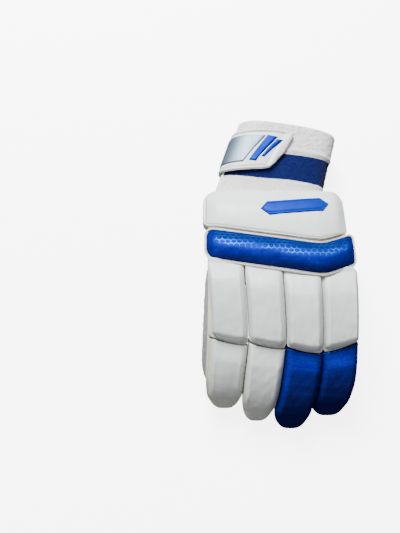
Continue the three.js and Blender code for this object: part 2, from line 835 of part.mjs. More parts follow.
// The slit on the little-finger side, open at the mouth.
function slitBody(grow) {
  const half = SLIT_WIDTH / 2 - grow;
  const [start, ...others] = SLIT_SECTIONS;
  const rings = [start + grow / CUFF_LENGTH, ...others].map((share) => {
    const { centre, across, halfWidth } = cuffFrame(share);
    const corner = (x, z) => centre.clone().addScaledVector(across, x).addScaledVector(Z_AXIS, z);
    const far = -halfWidth - 3 * CUFF_WALL;
    const near = -halfWidth + 3 * CUFF_WALL;
    return [corner(far, -half), corner(near, -half), corner(near, half), corner(far, half)];
  });
  return loft(rings);
}

// A folded strip over one edge of the slit. Side is 1 for the back's edge and -1 for the palm's.
function bindingBody(side) {
  const turnAt = (height, share) => {
    const { halfHeight } = cuffFrame(share);
    const part = Math.abs(height / halfHeight) ** (CUFF_POWER / 2);
    return 0.5 - (side * Math.sign(height) * Math.asin(part)) / (2 * Math.PI);
  };
  const heights = [SLIT_WIDTH / 2 - CLEARANCE - BINDING, SLIT_WIDTH / 2 + BINDING_WIDTH / 2];
  heights.push(SLIT_WIDTH / 2 + BINDING_WIDTH);
  const rings = BINDING_SECTIONS.map((share) => {
    const turns = heights.map((height) => turnAt(height, share));
    const outer = turns.map((turn) => cuffPoint(turn, share, BINDING_OUTER));
    const inner = turns.map((turn) => cuffPoint(turn, share, -CUFF_WALL - CLEARANCE - BINDING));
    return [...outer, ...inner.reverse()];
  });
  return loft(rings).subtract(cuffBody(CLEARANCE));
}

// A sheet that lies round the cuff between two offsets, with steps fine enough for its curve.
function wrap(rows, inner, outer) {
  const fine = [rows[0]];
  rows.slice(1).forEach((row, i) => {
    const before = rows[i];
    const steps = Math.ceil(Math.abs(row.lowTurn - before.lowTurn) / WRAP_STEP);
    for (let step = 1; step <= steps; step += 1) {
      const at = (key) => mix(before[key], row[key], step / steps);
      fine.push({ lowTurn: at("lowTurn"), highTurn: at("highTurn"), low: at("low"), high: at("high") });
    }
  });
  return loft(
    fine.map((row) => [
      cuffPoint(row.lowTurn, row.low, inner),
      cuffPoint(row.highTurn, row.high, inner),
      cuffPoint(row.highTurn, row.high, outer),
      cuffPoint(row.lowTurn, row.low, outer),
    ]),
  );
}

function barRows({ lowTurn, highTurn, low, high, width }) {
  return [-1, 0, 1].map((side) => ({
    lowTurn: lowTurn + side * width,
    highTurn: highTurn + side * width,
    low: low + (side * width) / 2,
    high: high + (side * width) / 2,
  }));
}

// A padded block on the thumb's outer side, between two shares of its line.
function thumbPad({ from, to, rows }) {
  const rings = rows.map((row) => {
    const { point, out, across } = thumbFrame(mix(from, to, row.at));
    return PAD_ACROSS.map(({ across: place, plateau }) => {
      const rise = padHeight(THUMB_PAD, PAD_FLANGE_SHARE, plateau, row.plateau, PAD_SKIRT);
      return point
        .clone()
        .addScaledVector(across, place * row.half * THUMB_PAD_HALF)
        .addScaledVector(out, THUMB_HALF_HEIGHT * row.height + rise * row.height);
    });
  });
  return loft(rings);
}

// Everything above the surface that the glove lies on.
function aboveSurface() {
  const size = 4 * (HAND_LENGTH + FINGER_REACH);
  return bodyOf(new THREE.BoxGeometry(size, size, size).translate(0, 0, size / 2));
}

function badgeOutline() {
  const half = BADGE_LENGTH / 2;
  const outline = new THREE.Shape();
  outline.moveTo(-half, 0);
  outline.lineTo(-half + BADGE_WIDTH / 2, -BADGE_WIDTH / 2);
  outline.lineTo(half - BADGE_WIDTH / 2, -BADGE_WIDTH / 2);
  outline.lineTo(half, 0);
  outline.lineTo(half - BADGE_WIDTH / 2, BADGE_WIDTH / 2);
  outline.lineTo(-half + BADGE_WIDTH / 2, BADGE_WIDTH / 2);
  outline.closePath();
  const depth = 3 * KNUCKLE_HEIGHT;
  const geometry = new THREE.ExtrudeGeometry(outline, { depth, bevelEnabled: false });
  geometry.rotateZ(BADGE_TURN);
  return geometry.translate(BADGE_X_SHARE * HAND_HALF_WIDTH, BADGE_Y_SHARE * HAND_LENGTH, 0);
}

const glove = new THREE.Group();
const floorCut = aboveSurface();

function piece(name, body, look) {
  const { vertProperties, triVerts } = body.intersect(floorCut).getMesh();
  const geometry = new THREE.BufferGeometry();
  geometry.setAttribute("position", new THREE.BufferAttribute(vertProperties, 3));
  geometry.setIndex(new THREE.BufferAttribute(triVerts, 1));
  geometry.computeVertexNormals();
  const mesh = new THREE.Mesh(geometry, look);
  mesh.name = name;
  glove.add(mesh);
  return body;
}

// Hand, stalls and thumb
const outside = gloveBody(0);
const clearOfBody = gloveBody(CLEARANCE, 2 * CLEARANCE);
const cavity = gloveBody(-WALL, 2 * WALL);
const thumbCavity = thumbBody(-WALL);
const shell = outside.subtract(cavity).subtract(thumbCavity);
piece("palm", shell.subtract(backSide(CLEARANCE / 2)), LEATHER);
piece("hand_back", shell.intersect(backSide(-CLEARANCE / 2)), MESH_GREY);
piece("thumb_stall", thumbBody(0).subtract(thumbCavity).subtract(clearOfBody), LEATHER);

const clearOfThumb = thumbBody(CLEARANCE).add(clearOfBody);
const thumbPadBase = thumbPad(THUMB_PAD_BASE).subtract(clearOfThumb);
const thumbPadTip = thumbPad(THUMB_PAD_TIP).subtract(clearOfThumb);
piece("thumb_pad_base", thumbPadBase, WHITE);
piece("thumb_pad_tip", thumbPadTip, WHITE);

// Back of the hand
const clearOfCuff = cuffOuter(CLEARANCE);
const frame = crossCushion(BAND, PIPING_WIDTH + CLEARANCE, PIPING_DROP);
const clearOfFrame = crossCushion(BAND, PIPING_WIDTH + 2 * CLEARANCE);
piece("knuckle_band", crossCushion(BAND, 0).subtract(clearOfBody), BLUE);
piece("band_piping", frame.subtract(crossCushion(BAND, CLEARANCE)).subtract(clearOfBody), CREAM);
const panel = crossCushion(PANEL, 0).subtract(clearOfBody).subtract(clearOfCuff);
piece("back_panel", panel, WHITE);
const badge = bodyOf(badgeOutline())
  .intersect(crossCushion(PANEL, CLEARANCE + BADGE_THICKNESS))
  .subtract(crossCushion(PANEL, CLEARANCE))
  .subtract(clearOfBody);
piece("badge", badge, BLUE);

// Finger pads
fingers.forEach(({ row }, number) => {
  const tipLook = number < 2 ? WHITE : BLUE;
  piece(row.name + "_pad_upper", upperPad(number).subtract(clearOfBody).subtract(clearOfFrame), WHITE);
  piece(row.name + "_pad_tip", tipPad(number).subtract(clearOfBody), tipLook);
});

// Cuff and strap
piece("cuff", cuffBody(0), TOWEL);
piece("cuff_binding_top", bindingBody(1), WHITE);
piece("cuff_binding_bottom", bindingBody(-1), WHITE);
piece("strap", wrap(STRAP, STRAP_INNER, STRAP_OUTER), WHITE);
const onStrap = STRAP_OUTER + CLEARANCE;
piece("strap_patch", wrap(PATCH, onStrap, onStrap + PATCH_THICKNESS), SILVER);
BARS.forEach((row, i) => {
  piece("strap_bar_" + (i + 1), wrap(barRows(row), onStrap, onStrap + BAR_THICKNESS), BLUE);
});

// The origin goes to the middle of the glove's box, on the surface that it lies on.
const box = new THREE.Box3().setFromObject(glove, true);
const middle = box.getCenter(new THREE.Vector3());
glove.position.set(-middle.x, -middle.y, -box.min.z);

export default glove;
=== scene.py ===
"""Looks of a padded cricket batting glove for the right hand, lying palm down.

Shapes are worked out in millimetres in the frame that the part is made in: the knuckle line is
y = 0, the fingers point to -y, the cuff opens to +y and the floor is z = 0. They are moved to the
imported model's frame when a piece is made.
"""

import math

import bpy
import numpy as np
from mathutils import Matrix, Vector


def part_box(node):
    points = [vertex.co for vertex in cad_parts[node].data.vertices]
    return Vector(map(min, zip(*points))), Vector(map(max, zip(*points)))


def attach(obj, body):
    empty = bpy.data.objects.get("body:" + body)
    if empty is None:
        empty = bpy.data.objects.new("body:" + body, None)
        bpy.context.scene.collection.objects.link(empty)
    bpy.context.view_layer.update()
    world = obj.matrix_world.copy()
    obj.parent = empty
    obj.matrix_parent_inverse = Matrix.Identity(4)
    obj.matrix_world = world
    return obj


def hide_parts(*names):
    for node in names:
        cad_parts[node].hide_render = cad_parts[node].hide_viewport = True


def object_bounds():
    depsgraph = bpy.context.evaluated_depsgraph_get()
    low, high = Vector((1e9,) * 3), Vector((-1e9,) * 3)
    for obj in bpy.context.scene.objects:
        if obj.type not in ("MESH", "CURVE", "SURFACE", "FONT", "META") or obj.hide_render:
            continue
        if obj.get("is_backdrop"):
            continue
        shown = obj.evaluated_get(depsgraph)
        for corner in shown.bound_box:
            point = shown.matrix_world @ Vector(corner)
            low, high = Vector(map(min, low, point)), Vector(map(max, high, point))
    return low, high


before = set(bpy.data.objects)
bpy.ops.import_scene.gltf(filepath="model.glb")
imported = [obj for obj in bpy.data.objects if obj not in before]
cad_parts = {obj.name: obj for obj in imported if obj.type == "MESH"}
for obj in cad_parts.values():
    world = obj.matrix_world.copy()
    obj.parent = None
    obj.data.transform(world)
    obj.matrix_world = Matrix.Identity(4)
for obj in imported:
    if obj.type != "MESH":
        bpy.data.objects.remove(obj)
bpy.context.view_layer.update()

# Hand and fingers, in millimetres, as in the part
HAND_LENGTH = 80
HAND_HALF_WIDTH = 66.5
HAND_HALF_HEIGHT = 16
KNUCKLE_HEIGHT = 46.5
FINGER_PITCH = 34.9
FINGER_REACH = 134
STALL_HALF_WIDTH = 14.6
STALL_HALF_HEIGHT = 12
GUSSET_BULGE = 11
WALL = 1.6
CLEARANCE = 0.3
FLOOR_GAP = 0.1
STALL_ROOT = 8
PRESS = 0.7
CUFF_PRESS = 1.7
HAND_POWER = 3
STALL_POWER = 2.6

# Padding
FINGER_PAD = 17
TIP_PAD = 15
TIP_COVER = 6.5
PAD_SKIRT = 5
PAD_GAP = 0.8
PAD_CORNER = 3.2
PAD_FLANGE = 0.62
OUTER_PAD_HALF = 16.7
LITTLE_FLANGE = 4
BAND_WIDTH = 29.3
BAND_PAD = 16
BAND_FLANGE = 0.58
BAND_OVERHANG = 2.6
PIPING_WIDTH = 1.7
PIPING_SWELL = 0.25
PIPING_DROP = 4
PANEL_PAD = 15.5
PANEL_FLANGE = 0.55
PANEL_OVERLAP = 5.5
PANEL_LEFT = 72.3
PANEL_RIGHT = 65.2
END_SLOPE = 14
SIDE_HANG = 0.15
SEAM_IN = 3.1
JOINT_AT = 0.501
SLANT_FADE = 0.3
TIP_MIDDLE = 0.3
TIP_SETTLE = 0.82
TIP_FLOOR = 1.7
INDEX_CORNER = 6
WALL_STEPS = np.linspace(0, 1, 9)[1:-1]
# Thickness, where the upper facet starts, how long it is, and its height at its start
PAD_KINDS = {
    "upper": (FINGER_PAD, PAD_SKIRT, 16.5, 0.06),
    "white tip": (TIP_PAD, 0.8, 13.5, 0.38),
    "blue tip": (TIP_PAD, 0.8, 13.5, 0.2),
}
# How far down a tip's pad goes beside its stall, from its start to its end
SKIRT = (0, 0.1), (0.16, 0.25), (0.35, 0.45), (0.55, 0.62), (0.7, 0.72), (0.82, 0.74), (0.91, 0.66), (1, 0.2)

# Thumb
THUMB_HALF_WIDTH = 13
THUMB_HALF_HEIGHT = 11
THUMB_PAD = 8
THUMB_PAD_HALF = 12.5
THUMB_PAD_LENGTH = 26
THUMB_HUG_POWER = 2.4
THUMB_ROLL = math.radians(38)

# Cuff and strap
CUFF_LENGTH = 77
CUFF_LEAN = 23.8
CUFF_YAW = math.radians(-10)
CUFF_ROOT_SHIFT = -8
CUFF_ROOT_HALF = (54, 17.6)
CUFF_MOUTH_HALF = (49, 22.5)
CUFF_POWER = 3
CUFF_WALL = 3.2
HEM_RISE = 0.8
SLIT_WIDTH = 9
BINDING = 1.2
BINDING_WIDTH = 5
BINDING_OUTER = HEM_RISE + CLEARANCE + BINDING
STRAP_THICKNESS = 2.2
STRAP_INNER = BINDING_OUTER + CLEARANCE
STRAP_OUTER = STRAP_INNER + STRAP_THICKNESS
STRAP_WIDTH = 46
STRAP_STITCH_IN = 3.2
CUFF_GIRTH = 2 * np.pi * 42
PATCH_LENGTH = 62

# How fine the meshes are
SAMPLE, SKIN_VOXEL, LOOP_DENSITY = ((0.8, 0.0012, 0.75e6))


class Track:
    """A smooth curve through a table's rows. The first column is the place along it."""

    def __init__(self, *rows):
        table = np.array(rows, float)
        self.at, self.values = table[:, 0], table[:, 1:]

    def __call__(self, place):
        at, values, last = self.at, self.values, len(self.at) - 1
        place = np.clip(np.asarray(place, float), at[0], at[-1])
        i = np.clip(np.searchsorted(at, place, side="right"), 1, last)
        t0, t1 = at[i - 1], at[i]
        before, after = np.where(i > 1, i - 2, i), np.where(i < last, i + 1, i - 1)
        half = (t1 - t0) / 2
        wp, wn = half / (t0 - at[before]), half / (at[after] - t1)
        p = (place - t0) / (t1 - t0)
        p2, p3 = p**2, p**3
        weights = (
            (before, -wp * p3 + 2 * wp * p2 - wp * p),
            (i - 1, (1 + wp) * p3 - (1.5 + 2 * wp) * p2 + (wp - 0.5) * p + 1),
            (i, (-1 - wn) * p3 + (1.5 + wn) * p2 + 0.5 * p),
            (after, wn * (p3 - p2)),
        )
        found = sum(values[k] * w[..., None] for k, w in weights)
        return tuple(np.moveaxis(found, -1, 0))


# Place along the hand: rise, width, shift, height
hand_at = Track(
    (-0.08, 1.0, 0.985, 0.01, 0.86),
    (0.05, 1.0, 1.0, 0.008, 1.0),
    (0.36, 0.915, 0.965, -0.03, 1.0),
    (0.68, 0.785, 0.915, -0.068, 1.0),
    (1.0, 0.624, 0.8, -0.113, 1.0),
)
# Place across the knuckles: the band's middle, the hand's crown
knuckles_at = Track(
    (-1.09, 0.383, 0.6),
    (-0.95, 0.364, 0.74),
    (-0.445, 0.291, 0.96),
    (0.09, 0.223, 1.02),
    (0.5, 0.176, 1.0),
    (0.59, 0.178, 0.95),
    (0.775, 0.226, 0.76),
    (1.04, 0.313, 0.38),
)
# Each finger: root, joint, bend, tip, reach, sink, slant of the joint line, fold between its pads
FINGERS = {
    "little": (-1.473, -1.364, -1.44, -1.444, 0.86, 0.04, -0.2, 0.462),
    "ring": (-0.481, -0.401, -0.522, -0.63, 0.948, 0, -0.14, 0.4575),
    "middle": (0.533, 0.582, 0.49, 0.29, 1, 0, -0.14, 0.467),
    "index": (1.51, 1.522, 1.5, 1.35, 0.91, 0.07, 0.24, 0.486),
}
# Place along a finger: its drop to the floor, and the little finger's gusset
drop_at = Track((0, 1), (0.11, 1), (0.3, 0.885), (0.507, 0.67), (0.71, 0.37), (0.92, 0.03), (1.06, -0.02))
gusset_at = Track((-0.1, 0.2), (0, 0.35), (0.22, 0.7), (0.5, 1), (0.71, 0.85), (0.86, 0.3), (0.97, 0))
# How far the little finger's pads spread over the gusset
flange_at = Track((-0.1, 0), (0.1, 0.1), (0.3, 0.7), (0.48, 1), (0.75, 0.8), (0.92, 0.5), (1.05, 0))

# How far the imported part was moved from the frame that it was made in
SHIFT = np.array(
    [
        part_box("knuckle_band")[0].x * 1000 + HAND_HALF_WIDTH + BAND_OVERHANG,
        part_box("back_panel")[1].y * 1000 - HAND_LENGTH - PANEL_OVERLAP,
        0,
    ]
)


def mix(a, b, share):
    return a + (b - a) * share


def eased(value, low, high):
    """0 below low, 1 above high, and smooth in between."""
    share = np.clip((value - low) / (high - low), 0, 1)
    return share * share * (3 - 2 * share)


def dome(distance, flat, rise):
    """How far a cushion has swelled at a distance from its edge: a flat border, then a rounded rise."""
    return np.sin(np.pi / 2 * np.clip((distance - flat) / rise, 0, 1))


def short_of(distance, flat, rise):
    """1 on a cushion's flat border and 0 where its rise has ended."""
    return 1 - np.clip((distance - flat) / rise, 0, 1)


def rolled(border, radius):
    """How far a rounded edge has dropped at a distance from it."""
    return radius - np.sqrt(radius**2 - np.clip(radius - border, 0, radius) ** 2)


def swell(off, power):
    """The height of a rounded section at a distance from its middle, both as shares of its halves."""
    return np.clip(1 - off**power, 0, 1) ** (1 / power)


def squared(value, power):
    """A cosine or sine that makes a rounded box of a circle."""
    return np.sign(value) * np.abs(value) ** (2 / power)


def unit(vectors):
    return vectors / np.linalg.norm(vectors, axis=-1, keepdims=True)


def lengths_along(line):
    """How far along a line each of its points lies."""
    return np.concatenate([[0], np.cumsum(np.linalg.norm(np.diff(line, axis=0), axis=1))])


def evenly(low, high, step, ends=0.0):
    """Places from low to high, closer together near both ends by the share that ends gives."""
    count = max(4, int(math.ceil((high - low) / step)))
    t = np.linspace(0, 1, count + 1)
    return mix(low, high, mix(t, (1 - np.cos(np.pi * t)) / 2, ends))


def ripple(points, size, seed, stretch=(1, 1, 1)):
    """A soft irregular field from -1 to 1 with waves about as long as size, the same in every run."""
    draw = np.random.default_rng(seed)
    total = np.zeros(points.shape[:-1])
    for _ in range(14):
        heading = draw.normal(size=3)
        heading *= 2 * np.pi / (size * draw.uniform(0.7, 1.6) * np.linalg.norm(heading))
        total += np.sin(points @ (heading * np.array(stretch)) + draw.uniform(0, 2 * np.pi))
    return total / 5


# Meshes


def grid_faces(rows, columns, around):
    """Four-cornered faces over a grid of points. Around joins its last column to its first."""
    row = np.arange(rows - 1)[:, None] * columns
    column = np.arange(columns if around else columns - 1)[None, :]
    a, b = row + column, row + (column + 1) % columns
    return np.stack([a, b, b + columns, a + columns], -1).reshape(-1, 4).tolist()


def mesh_object(name, points, faces, marks=None):
    """A mesh object from points in the part's own frame. Marks are values kept at its points."""
    mesh = bpy.data.meshes.new(name)
    placed = (np.asarray(points, float).reshape(-1, 3) + SHIFT) / 1000
    mesh.from_pydata(placed.tolist(), [], faces)
    for key, values in (marks or {}).items():
        values = np.asarray(values, np.float32)
        if values.ndim > 1 and values.shape[-1] == 3:
            mesh.attributes.new(key, "FLOAT_VECTOR", "POINT").data.foreach_set("vector", values.ravel())
        else:
            mesh.attributes.new(key, "FLOAT", "POINT").data.foreach_set("value", values.ravel())
    made = bpy.data.objects.new(name, mesh)
    bpy.context.scene.collection.objects.link(made)
    return made


def unfolded(flat, edge, wall, axis, sign):
    """The surface places of a side wall, counted on from the edge it hangs from."""
    found = np.repeat(flat[:, None], wall.shape[1], 1)
    found[..., axis] += sign * np.linalg.norm(wall - edge[:, None], axis=-1)
    return found


def wrapped(top, far, under, near):
    """Rows over the top, down the far wall, back underneath and up the near wall."""
    return np.concatenate([top, far, under[:, ::-1], near[:, ::-1]], 1)


def tube_object(name, rings, marks=None, ends=True, hollow=False):
    """A closed body through rings of points, rows by columns by three.

    The ends are closed by fans, or by one face each where the section isn't round but folds back on itself.
    """
    rings = np.asarray(rings, float)
    rows, columns = rings.shape[:2]
    points = rings.reshape(-1, 3)
    faces = grid_faces(rows, columns, True)
    flat = {k: np.asarray(v, float).reshape(rows * columns, -1) for k, v in (marks or {}).items()}
    if hollow:
        last = (rows - 1) * columns
        faces += [list(range(columns))[::-1], list(range(last, last + columns))]
    elif ends:
        points = np.vstack([points, rings[0].mean(0), rings[-1].mean(0)])
        start, end, last = rows * columns, rows * columns + 1, (rows - 1) * columns
        for i in range(columns):
            j = (i + 1) % columns
            faces += [[start, j, i], [end, last + i, last + j]]
        flat = {k: np.vstack([v, v[:columns].mean(0), v[last:].mean(0)]) for k, v in flat.items()}
    else:
        closing = [((rows - 1) * columns + i, i) for i in range(columns)]
        for i in range(columns):
            (a, p), (b, q) = closing[i], closing[(i + 1) % columns]
            faces.append([a, b, q, p])
    corner = points[np.array([f[:3] for f in faces])]
    if np.einsum("ij,ij->i", corner[:, 0], np.cross(corner[:, 1], corner[:, 2])).sum() < 0:
        faces = [f[::-1] for f in faces]
    return mesh_object(name, points, faces, {k: v[:, 0] if v.shape[1] == 1 else v for k, v in flat.items()})


def smooth(made, angle=55):
    made.data.shade_smooth()
    made.data.set_sharp_from_angle(angle=math.radians(angle))


def plain_copy(made):
    """Takes the modifiers' result as the object's own mesh."""
    scene = bpy.context.evaluated_depsgraph_get()
    done = bpy.data.meshes.new_from_object(made.evaluated_get(scene), depsgraph=scene)
    made.modifiers.clear()
    old, made.data = made.data, done
    bpy.data.meshes.remove(old)
    done.name = made.name
    return made


def carve(made, other, operation, keep=False):
    step = made.modifiers.new("carve", "BOOLEAN")
    step.operation, step.object, step.solver = operation, other, "MANIFOLD"
    plain_copy(made)
    if not keep:
        drop(other)
    return made


def drop(made):
    mesh = made.data
    bpy.data.objects.remove(made)
    bpy.data.meshes.remove(mesh)


def points_of(made):
    found = np.empty(len(made.data.vertices) * 3, np.float32)
    made.data.vertices.foreach_get("co", found)
    return found.reshape(-1, 3).astype(float) * 1000 - SHIFT


def normals_of(made):
    found = np.empty(len(made.data.vertices) * 3, np.float32)
    made.data.vertex_normals.foreach_get("vector", found)
    return found.reshape(-1, 3).astype(float)


def move_points(made, points):
    placed = ((points + SHIFT) / 1000).astype(np.float32)
    made.data.vertices.foreach_set("co", placed.ravel())
    made.data.update()


# Hand, stalls and thumb


def hand_height(y):
    return KNUCKLE_HEIGHT * hand_at(y / HAND_LENGTH)[0]


def oval(centre, across, up, half_width, half_height, power, sides, left_bulge=0):
    """Points round a section: centre and up are rows of points, and the halves one number a row."""
    angle = 2 * np.pi * (np.arange(sides) + 0.5) / sides
    side, rise = squared(np.cos(angle), power), squared(np.sin(angle), power)
    bulge = np.broadcast_to(left_bulge, half_width.shape)[:, None]
    width = half_width[:, None] + np.where(side < 0, 1, 0) * bulge
    return (
        centre[:, None]
        + across[:, None] * (width * side)[..., None]
        + up[:, None] * (half_height[:, None] * rise)[..., None]
    )


def all_along(line, direction):
    """The same direction at each point of a line."""
    return np.zeros_like(line) + direction


def round_end(start, end, rounding, step):
    """Places along a stall with a half ball at its end, and its share of the full size there."""
    turn = np.linspace(0, math.pi / 2, 14)[:-1]
    body = np.arange(start, end - rounding, step)
    places = np.concatenate([body, end - rounding * (1 - np.sin(turn)), [end - rounding * 0.002]])
    return places, np.sqrt(1 - np.clip(1 - (end - places) / rounding, 0, 1) ** 2)


def hand_object(name, grow, past):
    """The hand as one rounded body, grown all round and drawn out past the wrist."""
    shares = evenly(-0.08 - grow / HAND_LENGTH, 1, 2.5 / HAND_LENGTH)
    rise, width, shift, height = (np.append(v, v[-1]) for v in hand_at(shares))
    shares = np.append(shares, 1 + past / HAND_LENGTH)
    centre = np.stack([HAND_HALF_WIDTH * shift, HAND_LENGTH * shares, KNUCKLE_HEIGHT * rise], -1)
    halves = HAND_HALF_WIDTH * width + grow, HAND_HALF_HEIGHT * height + grow
    section = oval(centre, all_along(centre, (1, 0, 0)), all_along(centre, (0, 0, 1)), *halves, HAND_POWER, 120)
    return tube_object(name, section)


class Finger:
    """One finger's middle line and lane."""

    def __init__(self, name, number):
        root, joint, bend, tip, reach, sink, slant, self.fold = FINGERS[name]
        self.name, self.number, self.slant = name, number, slant
        self.reach, self.sink = FINGER_REACH * reach, sink
        self.line = Track((0, root), (JOINT_AT, joint), (0.8, bend), (1, tip))

    def centre_x(self, y):
        return FINGER_PITCH * self.line(-np.asarray(y, float) / self.reach)[0]

    def height(self, share):
        low, top = STALL_HALF_HEIGHT * TIP_SETTLE - PRESS, KNUCKLE_HEIGHT * (1 - self.sink)
        return mix(low, top, drop_at(share)[0])

    def spot(self, share):
        """Points on the middle line, and the directions away from the palm there."""
        share = np.asarray(share, float)
        y = -share * self.reach
        slope = (self.height(share + 0.01) - self.height(share - 0.01)) / (0.02 * self.reach)
        length = np.sqrt(1 + slope**2)
        point = np.stack([self.centre_x(y), y, self.height(share)], -1)
        return point, np.stack([np.zeros_like(y), slope / length, 1 / length], -1)

    def spread(self, y):
        """How far the little finger's pads reach out over the gusset."""
        return LITTLE_FLANGE * flange_at(-np.asarray(y, float) / self.reach)[0]

    def lane(self, y):
        """The left and right edge of the finger's pads."""
        centre = self.centre_x(y)

        def border(number, side):
            if not 0 <= number < len(fingers):
                return centre + side * (OUTER_PAD_HALF + (self.spread(y) if number < 0 else 0))
            return (centre + fingers[number].centre_x(y)) / 2 - side * PAD_GAP / 2

        return border(self.number - 1, -1), border(self.number + 1, 1)

    def stall(self, name, grow):
        """The finger's leather stall, with the gusset beside the little finger."""
        end, rounding = 1 + grow / self.reach, (STALL_HALF_WIDTH + grow) / self.reach
        shares, size = round_end(-STALL_ROOT / self.reach, end, rounding, 2 / self.reach)
        point, up = self.spot(shares)
        bulge = GUSSET_BULGE * gusset_at(shares)[0] * size if self.name == "little" else 0
        halves = (STALL_HALF_WIDTH + grow) * size, (STALL_HALF_HEIGHT + grow) * size
        return tube_object(name, oval(point, all_along(point, (1, 0, 0)), up, *halves, STALL_POWER, 56, bulge))


fingers = [Finger(name, number) for number, name in enumerate(FINGERS)]

THUMB_LINE = np.array(
    [(0.56, 0.58, 0.84), (0.63, 0.34, 0.6), (0.64, 0.06, 0.42), (0.55, -0.2, 0.33), (0.38, -0.46, 0.29)]
) * (HAND_HALF_WIDTH, HAND_LENGTH, KNUCKLE_HEIGHT)


def thumb_frame(share):
    """The thumb's middle line, its sideways and upward directions, and those of its rolled pads."""
    knots = np.vstack([2 * THUMB_LINE[0] - THUMB_LINE[1], THUMB_LINE, 2 * THUMB_LINE[-1] - THUMB_LINE[-2]])
    gaps = np.linalg.norm(np.diff(knots, axis=0), axis=1) ** 0.5
    places = np.concatenate([[0], np.cumsum(gaps)])
    fine = np.linspace(places[1], places[-2], 400)
    line = np.stack(Track(*np.column_stack([places, knots]))(fine), -1)
    run = lengths_along(line)
    share = np.asarray(share, float)
    where = share * run[-1]
    slope = np.gradient(line, run, axis=0)
    point, along = (np.stack([np.interp(where, run, v[:, k]) for k in range(3)], -1) for v in (line, slope))
    along = unit(along)
    point = point + along * (np.maximum(share - 1, 0) * run[-1])[..., None]
    side = unit(np.cross((0, 0, 1), along))
    up = np.cross(along, side)
    out = side * math.cos(THUMB_ROLL) - up * math.sin(THUMB_ROLL)
    return point, side, up, out, np.cross(along, out), run[-1]


def thumb_object(name, grow):
    length = thumb_frame([0, 1])[-1]
    shares, size = round_end(0, 1 + grow / length, (THUMB_HALF_WIDTH + grow) / length, 2 / length)
    point, side, up, *_ = thumb_frame(shares)
    halves = (THUMB_HALF_WIDTH + grow) * size, (THUMB_HALF_HEIGHT + grow) * size
    return tube_object(name, oval(point, side, up, *halves, STALL_POWER, 56))


def glove_object(name, grow, past):
    """The hand and its four stalls as one body."""
    whole = hand_object(name, grow, past)
    for finger in fingers:
        carve(whole, finger.stall("stall", grow), "UNION")
    return whole


def back_region(name, lower):
    """Everything above the seam between the palm side and the back, moved down by lower."""

    def block(point, up, left, right):
        low, high = point - up * lower, point + up * 2 * KNUCKLE_HEIGHT
        rows = []
        for base, x in ((low, left), (low, right), (high, right), (high, left)):
            corner = base.copy()
            corner[:, 0] = x
            rows.append(corner)
        return np.stack(rows, 1)

    shares = np.linspace(-0.12, 1.1, 40)
    middle = np.stack([0 * shares, HAND_LENGTH * shares, hand_height(HAND_LENGTH * shares)], -1)
    wide = 2 * HAND_HALF_WIDTH
    whole = tube_object(name, block(middle, all_along(middle, (0, 0, 1)), -wide, wide))
    for finger in fingers:
        shares = np.linspace(0.06 - lower / finger.reach, 1.06, 50)
        point, up = finger.spot(shares)
        left, right = finger.lane(point[:, 1])
        room = PAD_GAP / 2 + lower
        left = left - room - (GUSSET_BULGE if finger.name == "little" else 0)
        carve(whole, tube_object("lane", block(point, up, left, right + room)), "UNION")
    return whole


def hand_top(x, y, grow):
    """The height of the hand's upper skin over a place, or of its middle beside the hand."""
    rise, width, shift, height = hand_at(y / HAND_LENGTH)
    off = np.abs(x - HAND_HALF_WIDTH * shift) / (HAND_HALF_WIDTH * width + grow)
    return KNUCKLE_HEIGHT * rise + (HAND_HALF_HEIGHT * height + grow) * swell(off, HAND_POWER)


# Finger pads


def line_distance(points, line):
    """Distances from points to a line of close points, both in a plane."""
    a, b = line[:-1], line[1:]
    run = b - a
    length = np.maximum((run**2).sum(-1), 1e-9)
    off = points[..., None, :] - a
    share = np.clip((off * run).sum(-1) / length, 0, 1)
    return np.sqrt(((off - share[..., None] * run) ** 2).sum(-1).min(-1))


